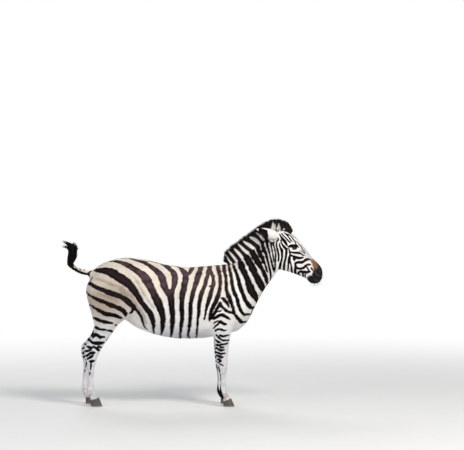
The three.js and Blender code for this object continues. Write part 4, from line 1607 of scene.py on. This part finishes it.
    def flat_gap(self, p: Array, lines: tuple[Marks, ...]) -> Array:
        """Measures in the side view alone, so that what is drawn runs across the nose.

        Args:
            p: places in table millimetres.
            lines: the marks.

        Returns:
            Distance to the nearest mark.
        """
        best = np.full(len(p), 60.0)
        here = np.flatnonzero(p[:, 0] > 1000)
        best[here] = self.gap(p[here] * (1.0, 0.0, 1.0), flat_tubes(lines), 60.0)
        return best

    def paint(self, points: Array, normals: Array) -> dict[str, Array]:
        """Works out what the skin and the coat store at places of the skin.

        Args:
            points: the places, in metres.
            normals: the skin's normals there.

        Returns:
            marks, ground, tone and bare, by name.
        """
        p = table_mm(points)
        x, _, z = p.T
        ear = on_ear(p)
        drawn = np.minimum(np.minimum(self.gap(p, self.tubes), self.dock_marks(p)), self.leg_marks(p))
        drawn += (3.2 - 2.2 * step(620, 760, x) - 1.4 * step(740, 660, z) * (x < 620)) * ripple(p, 38.0, 7)
        marks = np.where(ear > 0.06, self.ear_marks(p, ear, normals), drawn)
        return {"marks": marks, **self.colours(p, marks, ear)}

    def dock_marks(self, p: Array) -> Array:
        """Distance to the dock's marks: a black line beneath it, thin bars over it and a black end."""
        run = -962 - p[:, 0] + 0.35 * np.abs(p[:, 1])
        bars = np.abs((run + 20) % 40 - 20) - 5.0
        return np.where((p[:, 0] < -975) & (p[:, 2] > 1180), np.minimum(bars, 150 - run), FAR)

    def ear_marks(self, p: Array, along: Array, normals: Array) -> Array:
        """Distance to an ear's dark marks: the slanting band near the tip, and the rim of the cup.

        Args:
            p: places in table millimetres.
            along: how far along the ear they lie.
            normals: the skin's normals there.

        Returns:
            n distances.
        """
        high = p[:, 2] - (1564 + 73 * along)
        band = np.abs(along - 0.71 - high * 0.0022) * 216 - 44 + 5 * ripple(p, 40.0, 5)
        band = np.maximum(band, (high - 30 + 8 * step(0.2, 0.5, along)) * 0.8)
        inside = step(0.2, -0.3, normals[:, 1] * np.sign(p[:, 1]))
        return np.where(inside > 0.5, IN_EAR - 24 * step(0.75, 0.95, along), band)

    def colours(self, p: Array, marks: Array, ear: Array) -> dict[str, Array]:
        """Lays the ground and the tone of the marks: cream back, buff thigh, legs in a cool grey of painted shade,
        black muzzle with painted grey highlights, painted grey shade in the ears' cups, and a purple-brown painted
        sheen on the trunk's marks.

        Args:
            p: places in table millimetres.
            marks: distance to the marks.
            ear: how far along an ear they lie.

        Returns:
            ground, tone and bare, by name.
        """
        x, y, z = mirrored(p).T
        c = {name: linear(colour) for name, colour in vars(self.palette).items()}
        muzzle, nose, rim = (self.flat_gap(p, lines) for lines in (MUZZLE, NOSE_PATCH, MUZZLE_HIGHLIGHTS))
        eye = self.skin.gap(p, self.skin.eye) - self.skin.eye_radius
        trunk = step(430, 330, x)
        thigh = np.clip(1.15 * bell(x + 790, 250) * bell(z - 985, 175), 0, 1) * step(60, 110, y)
        dusty = np.clip(0.5 + 0.9 * ripple(p, 45.0, 14), 0, 1)
        ridge = (x - 1000) * 0.733 + (z - 1480) * 0.68
        soft = self.gap(p, self.shadow_tubes, 60.0) + 4 * ripple(p, 60.0, 9)
        beneath = 4.5 * step(4, -10, z - self.skin.eye[2] + 0.3 * (x - self.skin.eye[0]))
        chestnut = np.hypot((x - 298) / 13, (z - 455) / 19) + 0.12 * ripple(p, 20.0, 17)
        ground = layered(
            c["white"],
            (c["cream"], trunk * step(820, 1180, z) * np.clip(0.85 + 0.3 * ripple(p, 80.0, 19), 0.3, 1)),
            (c["buff"], thigh),
            # Painted shade: everything below about 700 mm turns a cool pale grey
            (c["leg"], step(760, 640, z)),
            (c["dust"], dusty * (0.55 * step(190, 70, z) + 0.22 * step(560, 300, z))),
            (c["bridge"], 0.8 * step(985, 1020, x) * step(1150, 1110, x) * step(-46, -18, ridge)),
            (c["shadow"], 0.55 * step(12.0, -12.0, soft)),
            (c["nose"], step(11, -9, nose + 4 * ripple(p, 30.0, 6))),
            (c["muzzle"], step(10, -8, muzzle + 4 * ripple(p, 24.0, 8))),
            # Painted highlights on the muzzle
            (c["rim"], 0.75 * step(5, -5, rim + 2 * ripple(p, 18.0, 16)) * (y > 22)),
            (c["skin"], step(11.0, 6.0, eye + beneath + 0.6 * ripple(p, 20.0, 15))),
            (c["skin"], step(1.15, 0.9, chestnut) * (y < 92)),
            # Painted shade: the inside of each ear's cup turns a mid grey
            (c["bridge"] * 0.55, 0.7 * (ear > 0.1) * (marks == IN_EAR)),
        )
        # The top of the barrel, where the painted sheen of the wide marks goes
        upper = step(-30, 30, z - 1225 + 1.34 * (x + 600)) * step(360, 180, x) * step(940, 1180, z)
        mottled = np.clip(0.75 + 0.6 * ripple(p, 70.0, 18), 0.2, 1)
        tone = layered(
            c["black"],
            # Painted sheen of the sky on the dark hair, stronger higher up the trunk
            (c["plum"], trunk * step(900, 1250, z)),
            (c["russet"], step(-380, -620, x) * step(820, 1000, z)),
            # Painted sheen, lighter where light falls on the top of the barrel
            (c["mauve"], upper * mottled * step(-2, -15, marks)),
            (c["umber"], step(1030, 1070, x) * step(1285, 1300, z)),
            (c["nose"], step(10, -8, nose)),
        )
        bare = np.maximum(step(8, -6, muzzle) * step(1120, 1150, x), step(5, 2, eye))
        return {"ground": ground, "tone": tone, "bare": bare}


# ---------------------------------------------------------------- the coat
@dataclass(frozen=True)
class Patch:
    """One piece of the coat: where it grows and how."""

    name: str
    count: int
    length: float  # of a tuft, in millimetres
    width: float
    lift: float  # how far a tip stands off the skin, in millimetres


PATCHES = (
    Patch("coat_trunk_right", 45000, 12.5, 2.1, 2.2),
    Patch("coat_trunk_left", 45000, 12.5, 2.1, 2.2),
    Patch("coat_quarters_right", 42000, 12.0, 2.1, 2.2),
    Patch("coat_quarters_left", 42000, 12.0, 2.1, 2.2),
    Patch("coat_neck_right", 34000, 12.0, 1.9, 2.2),
    Patch("coat_neck_left", 34000, 12.0, 1.9, 2.2),
    Patch("coat_head", 48000, 5.4, 1.15, 1.0),
    Patch("coat_legs", 48000, 8.5, 1.6, 1.4),
)


@dataclass
class Coat:
    """Short hair over the skin: closed slivers that lie along the body and overlap."""

    skin: Skin
    markings: Markings
    material: bpy.types.Material
    share: float = 1.0  # of the tufts that are made
    sunk: float = 0.3 * MM  # how far a tuft's root lies under the skin

    def __post_init__(self) -> None:
        """Reads the skin's arrays."""
        mesh = self.skin.mesh
        self.points, self.normals = read_points(mesh), read_normals(mesh)
        self.faces, self.loops = read_triangles(mesh)
        self.chart = fetched(mesh.uv_layers[UNWRAP].data, "uv", 2)

    def zones(self, p: Array) -> Array:
        """Sorts places into the patches.

        Args:
            p: places in table millimetres.

        Returns:
            Number of the patch of each.
        """
        x, y, z = p.T
        zone = np.where(x * 0.86 + z * 0.51 > 980, 4, np.where(x < -500, 2, 0)) + (y >= 0)
        zone = np.where((x > 790) | (on_ear(p) > ON_EAR), 6, zone)
        leg = (z < 690) & ((x > 170) & (x < 420) | (x < -660))
        return np.where(leg, 7, zone)

    def lie(self, p: Array) -> Array:
        """Which way the hair lies: back and down the body, down the legs, down the face, out along the ears.

        Args:
            p: places in table millimetres.

        Returns:
            Unit vectors, n by 3.
        """
        x, y, z = p.T
        face = step(0, 60, (x - 905) * 0.6 + (z - 1400) * 0.8) * step(900, 960, x)
        way = layered(
            np.array((-1.0, 0.0, -0.38)),
            ((-0.75, 0.0, -1.0), step(330, 480, x)),
            ((-0.9, 0.0, -0.7), step(-650, -900, x)),
            ((-0.12, 0.0, -1.0), step(760, 620, z) * (step(170, 200, x) + step(-600, -700, x))),
            ((0.75, 0.0, -0.66), face),
            ((-0.25, 0.0, -1.0), step(800, 840, x) * (1 - face)),
            ((-0.9, 0.0, 0.45), step(-950, -985, x)),
            ((-0.92, 0.0, 0.28), on_ear(p) > ON_EAR),
        )
        way[:, 1] += 0.10 * np.sign(y) * step(1250, 1330, z) * step(400, 300, x)
        return unit(way + 0.16 * np.column_stack([ripple(p, 130.0, seed) for seed in (31, 32, 33)]))

    def grow(self) -> list[bpy.types.Object]:
        """Makes every patch of the coat.

        Returns:
            The pieces.
        """
        a, b, c = (self.points[corner] for corner in self.faces.T)
        middle = table_mm((a + b + c) / 3)
        zone = self.zones(middle)
        weight = np.linalg.norm(np.cross(b - a, c - a), axis=1) * self.density(middle)
        chosen = [np.flatnonzero((zone == number) & (weight > 0)) for number in range(len(PATCHES))]
        return [self.patch(patch, SEED + i, chosen[i], weight[chosen[i]]) for i, patch in enumerate(PATCHES)]

    def density(self, p: Array) -> Array:
        """How thick the hair grows: thin on the muzzle, none on the lids, in the hooves or in the nostrils."""
        thick = step(24.0, 27.0, self.skin.gap(p, self.skin.eye)) * (0.25 + 0.75 * step(1150, 1100, p[:, 0]))
        return thick * (p[:, 2] > 52) * (1 + 0.8 * step(860, 960, p[:, 0]))

    def patch(self, patch: Patch, seed: int, chosen: Array, weight: Array) -> bpy.types.Object:
        """One patch of tufts, spread evenly by area.

        The roots are drawn by systematic sampling of the running area, with uneven places inside each
        triangle; every value of the skin is read at the root and kept over the whole tuft.

        Args:
            patch: what to grow.
            seed: of its random draws.
            chosen: numbers of its triangles.
            weight: how much of the hair each of them takes.

        Returns:
            The piece.
        """
        rng = np.random.default_rng(seed)
        count = int(patch.count * self.share)
        run = np.cumsum(weight)
        picks = (np.arange(count) + rng.uniform(0, 1, count)) / count * run[-1]
        face = chosen[np.minimum(np.searchsorted(run, picks), len(chosen) - 1)]
        r, s = np.sqrt(rng.uniform(0, 1, count)), rng.uniform(0, 1, count)
        share = columns(1 - r, r * (1 - s), r * s)[..., None]

        def at_root(values: Array, corners: Array) -> Array:
            """Values of the three corners mixed at the root."""
            return (values[corners[face]] * share).sum(axis=1)

        root, normal = at_root(self.points, self.faces), unit(at_root(self.normals, self.faces))
        p = table_mm(root)
        side = unit(np.cross(normal, self.lie(p)))
        way = unit(unit(np.cross(side, normal)) + side * rng.normal(0, 0.16, count)[:, None])
        side = np.cross(normal, way)
        longer = self.longer(p)
        length = patch.length * rng.uniform(0.65, 1.2, count) * longer
        lift = patch.lift * rng.uniform(0.5, 1.3, count) * (0.6 + 0.4 * longer)
        lift += 6.0 * step(-975, -1000, p[:, 0]) * (p[:, 2] > 1190)
        ahead, up = way * (length * MM)[:, None], normal * (lift * MM)[:, None]
        half = patch.width * 0.5 * rng.uniform(0.7, 1.25, count) * MM
        blades = Blades(root - normal * self.sunk, root + ahead * 0.5 + up * 0.85, root + ahead + up, side, half, 0.45)
        values = {name: blades.spread(value) for name, value in self.markings.paint(root, normal).items()}
        chart = blades.patches(at_root(self.chart, self.loops), TUFT_PATCH)
        made = hair_piece(patch.name, *blades.geometry(), self.material, chart, **values)
        soften(made.data, 0.55, blades.spread(normal))
        return made

    def longer(self, p: Array) -> Array:
        """How much longer the hair is than its patch's: under the jaw and belly, at the fetlocks and coronets.

        Args:
            p: places in table millimetres.

        Returns:
            Factors, one for each place.
        """
        x, _, z = p.T
        jaw = step(800, 850, x) * step(1290, 1230, z)
        belly = step(700, 640, z) * step(-640, -560, x) * step(170, 120, x)
        fetlock, muzzle = step(150, 90, z), step(1060, 1120, x)
        return 1 + 0.6 * jaw + 0.6 * fetlock + 0.7 * belly - 0.45 * muzzle + 0.9 * (on_ear(p) > ON_EAR)


# ---------------------------------------------------------------- long hair
@dataclass
class Mane:
    """The stiff upright mane from the withers to the forelock, black with pale locks that run on from the neck."""

    material: bpy.types.Material
    roots: Pairs = ((384, 1296), (436, 1316), (492, 1362), (545, 1408), (600, 1452), (655, 1500), (715, 1546),
                    (762, 1574), (812, 1586), (852, 1584), (884, 1570))
    tips: Pairs = ((276, 1338), (284, 1424), (334, 1480), (408, 1534), (490, 1594), (572, 1652), (646, 1702),
                   (722, 1734), (800, 1741), (888, 1708), (938, 1630))
    half_thickness: float = 20.0
    locks: int = 8800
    pieces: tuple[tuple[str, float, float], ...] = (("mane_locks", 0.0, 0.86), ("forelock_locks", 0.86, 1.01))

    def build(self, share: float) -> list[bpy.types.Object]:
        """Grows the locks as two pieces, the mane behind the ears and the forelock before them.

        Args:
            share: of the locks that are made.

        Returns:
            The two pieces.
        """
        rng = np.random.default_rng(SEED + 40)
        count = int(self.locks * share)
        t = np.sort(rng.uniform(0, 1, count))
        seat = np.linspace(0, 1, len(self.roots))
        x, z = sampled(t, seat, self.roots).T
        slip = np.clip(t + rng.normal(0, 0.010, count), 0, 1)
        end_x, end_z = sampled(slip, seat, self.tips).T
        y = rng.uniform(-1, 1, count)
        thick = self.half_thickness * np.interp(t, (0, 0.1, 0.25, 0.85, 1), (0.5, 0.75, 1, 1, 0.6))
        root = columns(x, y * thick, z - 10 - 10 * np.abs(y))
        reach = rng.uniform(0.80, 1.0, count) ** 0.5 * (1 - 0.09 * y**2)
        reach *= 1 - 0.06 * np.clip(ripple(columns(t * 900, y * 8, 0.0), 26.0, 44), 0, 1)
        end = columns(end_x, y * thick * 0.75 + rng.normal(0, 3.0, count), end_z)
        reach *= 1 - 0.05 * step(0.93, 1.0, t) * rng.uniform(0, 1, count)
        tip = root + (end - root) * reach[:, None]
        middle = (root + tip) / 2 + rng.normal(0, 3.0, (count, 3)) + columns(4.0, y * 5.0, 5.0)
        across = unit(np.array((1.0, 0.0, 0.55)) + rng.normal(0, 0.35, (count, 3)))
        blades = Blades(root, middle, tip, across, rng.uniform(1.3, 2.9, count), 0.5, 4, 2.4)
        points, faces = blades.geometry()
        marks = self.pale(points)
        strand = blades.spread(rng.uniform(0, 1, count))
        chart = blades.patches(columns(0.02 + 0.96 * t, 0.5 + 0.45 * y), LOCK_PATCH)
        outwards = columns(0.0, np.tanh(points[:, 1] / 5.0), 0.4)
        made = []
        for name, low, high in self.pieces:
            kept = blades.spread((t >= low) & (t < high))
            number = np.cumsum(kept) - 1
            made.append(hair_piece(name, place(points[kept]), number[faces[kept[faces[:, 0]]]], self.material,
                                   chart[kept], marks=marks[kept], strand=strand[kept]))
            soften(made[-1].data, 0.4, outwards[kept])
        return made

    def pale(self, points: Array) -> Array:
        """How far inside a pale lock each place lies, in millimetres, in the side view.

        Args:
            points: places in table millimetres.

        Returns:
            n depths, below zero outside the locks.
        """
        flat = points * (1, 0, 1)
        best = np.full(len(points), ALL_DARK)
        for tube in flat_tubes(MANE_LOCKS, 1.24, 2.0):
            best = np.maximum(best, -line_distance(flat, tube))
        return best + 2.5 * ripple(points, 30.0, 45)


@dataclass
class TailBrush:
    """The black brush at the end of the dock, swished up and blown back at its end."""

    material: bpy.types.Material
    # x, z and half depth of the middle line, and the ends that hair is blown to, with their shares
    line: Marks = ((-1092, 1270, 20), (-1120, 1288, 22), (-1138, 1306, 30), (-1130, 1338, 43), (-1115, 1372, 48),
                   (-1106, 1412, 47), (-1100, 1450, 42), (-1106, 1482, 30))
    ends: Marks = ((-1222, 1528, 12), (-1220, 1472, 8), (-1190, 1516, 10), (-1172, 1452, 7), (-1156, 1510, 14),
                   (-1122, 1500, 20), (-1086, 1518, 14), (-1066, 1490, 10), (-1048, 1462, 7))
    low: tuple[float, float, float] = (-1229, -60, 1200)  # corners of the box that holds all the tips
    high: tuple[float, float, float] = (-1040, 60, 1532)
    locks: int = 2100

    def along(self, t: Array) -> Array:
        """Columns x, z and half depth of the brush's middle line at shares of its length."""
        return sampled(np.clip(t, 0, 1), np.linspace(0, 1, len(self.line)), self.line)

    def build(self, share: float) -> bpy.types.Object:
        """Grows locks that follow the middle line for a while; those that start late are blown to a few ends.

        Args:
            share: of the locks that are made.

        Returns:
            The piece.
        """
        rng = np.random.default_rng(SEED + 60)
        count = int(self.locks * share)
        t = rng.uniform(0, 0.86, count)
        turn, out = rng.uniform(0, 2 * np.pi, count), np.sqrt(rng.uniform(0.15, 1, count))
        ahead = rng.uniform(0.30, 0.46, count)
        way = self.along(t + 0.06) - self.along(t - 0.06)
        aside = unit(columns(-way[:, 1], way[:, 0]))
        spots = []
        for on, swell in ((0.0, 0.82), (0.55, 1.0), (1.0, 0.86)):
            row = self.along(t + ahead * on)
            girth = row[:, 2] * out * swell
            x, z = (row[:, :2] + aside * (np.cos(turn) * girth)[:, None]).T
            spots.append(columns(x, np.sin(turn) * girth * 0.72, z))
        root, middle, tip = spots
        ends = np.array(self.ends)
        end_x, end_z, shares = ends[rng.choice(len(ends), count, p=ends[:, 2] / ends[:, 2].sum())].T
        goal = columns(end_x, tip[:, 1] * 0.5, end_z) + rng.normal(0, 4.5, (count, 3))
        late = step(0.42, 0.74, t)
        run = goal - root
        grown = root + run * rng.uniform(0.5, 1.0, (count, 1)) ** 0.6
        tip = np.clip(blend(tip + rng.normal(0, 4.0, (count, 3)), grown, late), self.low, self.high)
        lift = columns(0.10 * run[:, 0], 0.0, 0.62 * run[:, 2] + 0.16 * np.abs(run[:, 0]))
        middle = blend(middle, root + lift, late)
        across = unit(rng.normal(size=(count, 3)))
        blades = Blades(root, middle, tip, across, rng.uniform(1.3, 2.6, count), 0.6, 6, 2.2)
        points, faces = blades.geometry()
        strand = blades.spread(rng.uniform(0, 1, count))
        chart = blades.patches(rng.uniform(0.02, 0.98, (count, 2)), LOCK_PATCH)
        return hair_piece("tail_brush_locks", place(points), faces, self.material, chart,
                          marks=np.full(len(points), ALL_DARK), strand=strand)


@dataclass
class Bristles:
    """Whiskers on the lips and chin, and the lashes of the upper lids."""

    material: bpy.types.Material
    markings: Markings
    whiskers: int = 120
    lashes: int = 54

    def build(self) -> bpy.types.Object:
        """Makes all the bristles.

        Returns:
            One piece.
        """
        rng = np.random.default_rng(SEED + 70)
        blades = [self.whisker_blades(rng), *(self.lash_blades(side, rng) for side in Side)]
        points, faces = zip(*(blade.geometry() for blade in blades))
        starts = np.cumsum([0] + [len(part) for part in points])
        faces = np.vstack([part + start for part, start in zip(faces, starts)])
        points = np.vstack(points)
        chart = [blade.patches(rng.uniform(0.02, 0.98, (len(blade.root), 2)), LOCK_PATCH) for blade in blades]
        return hair_piece("whiskers_lashes", place(points), faces, self.material, np.vstack(chart),
                          marks=np.full(len(points), ALL_DARK), strand=np.full(len(points), 0.3))

    def whisker_blades(self, rng: np.random.Generator) -> Blades:
        """Bristles from 18 to 45 mm on the lips, the nostrils' rims and the chin, bent a little down.

        Args:
            rng: gives the random numbers.

        Returns:
            The blades, in table millimetres.
        """
        count = self.whiskers
        way = unit(rng.normal(size=(count, 3)) * (0.5, 0.9, 0.8) + (0.30, 0.0, -0.35))
        inside = columns(rng.uniform(1100, 1165, count), 0.0, rng.uniform(1165, 1225, count))
        root = np.array([self.markings.hit(start + out * 250, -out, start) for start, out in zip(inside, way)])
        length = rng.uniform(18, 45, count)[:, None]
        way = unit(way + (0.25, 0, -0.1))
        tip = root + way * length + np.array((0, 0, -0.16)) * length
        across = unit(np.cross(way, (0, 0.3, 1)))
        return Blades(root - way, root + way * length * 0.55, tip, across, np.full(count, 0.42), 0.9, 4, 1.6)

    def lash_blades(self, side: Side, rng: np.random.Generator) -> Blades:
        """A fringe along the upper lid, out and a little down, curled up at its ends.

        Args:
            side: which eye.
            rng: gives the random numbers.

        Returns:
            The blades, in table millimetres.
        """
        skin, count = self.markings.skin, self.lashes
        out, level, up = skin.eye_axes(side)
        a = np.linspace(-0.75, 0.72, count) + rng.normal(0, 0.01, count)
        b = 0.50 * (1 - 0.25 * np.clip(a, 0, 1)) * np.sqrt(1 - (a / 0.98) ** 2) - 0.06
        way = unit(out + np.tan(a)[:, None] * level + np.tan(b)[:, None] * up)
        root = np.array(skin.eye) * side.flip + way * (skin.eye_radius + skin.lid * 0.7)
        length = rng.uniform(8, 12, count)[:, None]
        ahead = unit(way + 0.25 * level * a[:, None])
        tip = root + (ahead + up * 0.10) * length
        middle = root + (ahead * 0.6 - up * 0.30) * length
        return Blades(root - ahead, middle, tip, np.tile(level, (count, 1)), np.full(count, 0.35), 0.9, 4, 1.6)


# ---------------------------------------------------------------- eyes and hooves
@dataclass
class Eye:
    """One eyeball: a sphere with a slightly bulging cornea, and the iris and pupil stored on it.

    Rings run from the pole that looks outwards; iris is the angle from it over the iris's, pupil the
    same for an oval that is wide and level.
    """

    side: Side
    skin: Skin
    material: bpy.types.Material
    rings: int = 40
    turns: int = 56
    gaze: tuple[float, float, float] = (0.20, 0.95, 0.06)
    iris: float = 0.80  # angle of the iris's edge, in radians
    pupil: tuple[float, float] = (0.50, 0.26)  # sines of the pupil's half width and half height

    def build(self) -> bpy.types.Object:
        """Makes the eyeball.

        Returns:
            The piece, which stands for its solid.
        """
        out, level, _ = self.skin.eye_axes(self.side, self.gaze)
        up = np.cross(out, level)
        angle = np.linspace(0.03, np.pi - 0.03, self.rings)[:, None, None]
        turn = np.linspace(0, 2 * np.pi, self.turns, endpoint=False)[None, :, None]
        radius = self.skin.eye_radius - 0.4 + 0.9 * step(0.95, 0.3, angle)
        face = np.sin(angle) * (np.cos(turn) * level + np.sin(turn) * up) + np.cos(angle) * out
        centre = np.array(self.skin.eye) * self.side.flip
        points, faces = closed_grid(centre + face * radius)
        shown = unit(points - centre)
        deep = np.arccos(np.clip(shown @ out, -1, 1))
        pupil = np.hypot(shown @ level / self.pupil[0], shown @ up / self.pupil[1]) + (deep > 1.5) * 5
        name = f"eyeball_{self.side.name.lower()}"
        made = build_piece(name, place(points), outward(points, faces), self.material,
                           iris=deep / self.iris, pupil=pupil)
        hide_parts(f"eye_{self.side.name.lower()}")
        return made


@dataclass
class Hoof:
    """One hoof: a horn wall that flares to the ground, ringed by growth, with a rounded bearing edge.

    Each ring is a superellipse between a front and a back point; going down, the front runs forwards
    along the pastern's slope. The wall swells by a small wave at each growth ring.
    """

    limb: Limb
    material: bpy.types.Material
    half: float = 38.0
    splay: float = 13.0
    slope: float = 32.0
    growth: float = 46.0  # radians of the rings' wave from coronet to ground
    power: float = 2.25  # of the superellipse
    rings: int = 30
    sides: int = 64

    def build(self) -> bpy.types.Object:
        """Makes the hoof.

        Returns:
            The piece, which stands for its solid.
        """
        toe_x, toe_z, heel_x, heel_z = CORONETS[self.limb.kind]
        toe_x, heel_x = toe_x + self.limb.shift, heel_x + self.limb.shift
        down = np.concatenate(([0.0, 0.0], np.linspace(0, 1, self.rings), [1.0]))[:, None]
        drawn = np.concatenate(([0.30, 0.10], np.zeros(self.rings), [0.04]))[:, None]
        wave = 0.55 * np.sin(down * self.growth) * step(0.0, 0.1, down) * step(1.0, 0.93, down)
        lip = 3.0 + wave + 1.2 * bell(down - 0.06, 0.05)
        front_x, front_z = toe_x + lip + self.slope * down, (toe_z + 2) * (1 - down)
        back_x, back_z = heel_x - 2 - wave - 2 * down, (heel_z + 1) * (1 - down)
        wide = self.half - 3 + lip + self.splay * down**0.8
        turn = (np.arange(self.sides) + 0.5)[None] / self.sides * 2 * np.pi
        across, ahead = (np.sign(v) * np.abs(v) ** (2 / self.power) for v in (np.sin(turn), np.cos(turn)))
        keep = (1 - drawn) * (1 - 0.03 * step(0.90, 1.0, down))
        cleft = 6.0 * bell(across, 0.16) * (ahead < 0) * step(0.15, 0.7, down)
        x = (front_x + back_x) / 2 + ahead * (front_x - back_x) / 2 * keep + cleft
        z = (front_z + back_z) / 2 + ahead * (front_z - back_z) / 2 * keep + drawn * 6 * (down < 0.5)
        y = self.limb.side.value * self.limb.middle + across * wide * keep
        points, faces = closed_grid(np.stack((x, y, np.maximum(z, 0)), axis=-1))
        share = np.append(np.repeat(down.ravel(), self.sides), (0.0, 1.0))
        rings = 0.5 + 0.5 * np.sin(share * self.growth) + 0.3 * np.sin(share * 131)
        made = build_piece(f"hoof_horn_{self.limb.name}", place(points), outward(points, faces), self.material,
                           growth=rings)
        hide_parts(f"hoof_{self.limb.name}")
        return made


# ---------------------------------------------------------------- the studio
@dataclass
class Stand:
    """The camera's stand, the lights and the floor."""

    distance: float = 20.0  # from the middle plane, in metres
    height: float = 2.366
    across: float = 0.366
    focal: float = 2160.0  # of the lens, in the unit in which the view is 464 wide
    width: float = 464.0
    horizon: float = 75.0  # how far the horizon lies over the view's middle, in the same unit
    sensor: float = 36.0  # in millimetres
    radii: tuple[float, ...] = (0.01, 2.0, 8.0, 60.0)  # of the floor's rings
    sides: int = 48

    @property
    def spot(self) -> Array:
        """The stand's place on the left side, in table millimetres."""
        return np.array((self.across, self.distance, self.height)) / MM

    def camera(self) -> None:
        """A long lens that looks along +Y and slightly down."""
        data = bpy.data.cameras.new("camera")
        data.sensor_width, data.lens = self.sensor, self.sensor * self.focal / self.width
        data.clip_end = 200.0
        item = linked("camera", data)
        item.location = (self.across + ORIGIN_X, -self.distance, self.height)
        item.rotation_euler = (math.pi / 2 - math.atan(self.horizon / self.focal), 0.0, 0.0)
        bpy.context.scene.camera = item

    def light(self, name: str, spot: tuple[float, float, float], power: float, size: float, colour: Colour) -> None:
        """A square lamp that looks at the animal's middle.

        Args:
            name: the lamp's name.
            spot: where it stands, in metres.
            power: in watts.
            size: of its side, in metres.
            colour: of its light.
        """
        data = bpy.data.lights.new(name, "AREA")
        data.energy, data.size, data.color = power, size, colour
        item = linked(name, data)
        item.location = spot
        item.rotation_euler = (Vector((0.0, 0.0, 0.9)) - Vector(spot)).to_track_quat("-Z", "Y").to_euler()

    def world(self) -> None:
        """A soft sky for the light, and plain white behind for the camera."""
        net = Net(bpy.data.worlds.new("studio"))
        sky = {"Color": (0.93, 0.96, 1.0, 1.0), "Strength": 0.40}
        soft, white = (net.value("ShaderNodeBackground", {}, inputs) for inputs in (sky, {"Color": (1.0,) * 4}))
        seen = net.value("ShaderNodeLightPath", output="Is Camera Ray")
        mixed = net.value("ShaderNodeMixShader", {}, {0: seen, 1: soft, 2: white})
        bpy.context.scene.world = net.finish(mixed, "ShaderNodeOutputWorld")

    def build(self) -> None:
        """Sets the camera, three soft lamps, the world and the floor."""
        self.camera()
        self.light("key", (4.5, -6.0, 7.5), 640.0, 3.0, (1.0, 0.97, 0.93))
        self.light("fill", (-6.0, -5.0, 3.5), 150.0, 5.0, (0.93, 0.96, 1.0))
        self.light("back", (-2.0, 7.0, 6.0), 260.0, 4.0, (1.0, 1.0, 1.0))
        self.world()
        turn = np.linspace(0, 2 * np.pi, self.sides, endpoint=False)
        rings = np.concatenate([columns(np.cos(turn) * r, np.sin(turn) * r, 0.0) for r in self.radii])
        a, b = ladder(len(self.radii), self.sides)
        quads = columns(a + self.sides, b + self.sides, b, a)
        floor = build_piece("floor", rings, quads, FloorFinish().material())
        bpy.context.scene.view_settings.view_transform = "Standard"


def unwrap(item: bpy.types.Object) -> None:
    """Lays the skin's own shape out flat, for the coat's patches.

    Args:
        item: the skin's object.
    """
    item.data.uv_layers.active = item.data.uv_layers.new(name=UNWRAP)
    bpy.context.view_layer.objects.active = item
    item.select_set(True)
    bpy.ops.object.mode_set(mode="EDIT")
    bpy.ops.mesh.select_all(action="SELECT")
    bpy.ops.uv.smart_project(angle_limit=math.radians(66), island_margin=0.002)
    bpy.ops.object.mode_set(mode="OBJECT")


def main() -> None:
    """Builds the animal and the studio, and reports each piece."""
    logging.basicConfig(level=logging.INFO, format="%(name)s: %(message)s")
    share = 1.0
    stand, skin = Stand(), Skin()
    stand.build()
    skin.build()
    markings = Markings(skin, stand)
    write_attributes(skin.mesh, markings.paint(read_points(skin.mesh), read_normals(skin.mesh)))
    skin.mesh.materials.append(HideFinish("hide", 0.62, 1.6, 700.0, 0.0012).material())
    unwrap(skin.object)
    coat = Coat(skin, markings, HideFinish("coat_hair", 0.58, 1.0, 900.0, 0.0004).material(), share)
    pieces = [(piece, "coat") for piece in (*coat.grow(), skin.object)]
    skin.mesh.uv_layers.remove(skin.mesh.uv_layers[UNWRAP])
    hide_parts(*skin.flesh())
    hair = HairFinish("long_hair", (0.96, 0.89, 0.84), (0.006, 0.005, 0.005), 0.55).material()
    locks = Mane(hair).build(share)
    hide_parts("mane")
    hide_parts("forelock")
    brush = TailBrush(hair).build(share)
    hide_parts("tail_brush")
    pieces += [(piece, "dark_hair") for piece in (*locks, brush, Bristles(hair, markings).build())]
    horn, wet = HornFinish().material(), EyeFinish().material()
    pieces += [(Hoof(limb, horn).build(), "hoof_horn") for limb in LIMBS]
    pieces += [(Eye(side, skin, wet).build(), "eye") for side in Side]
    for piece, slot in pieces:
        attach(piece, "root")
        LOG.info("%s: %d faces", piece.name, len(piece.data.polygons))


if __name__ == "__main__":
    main()
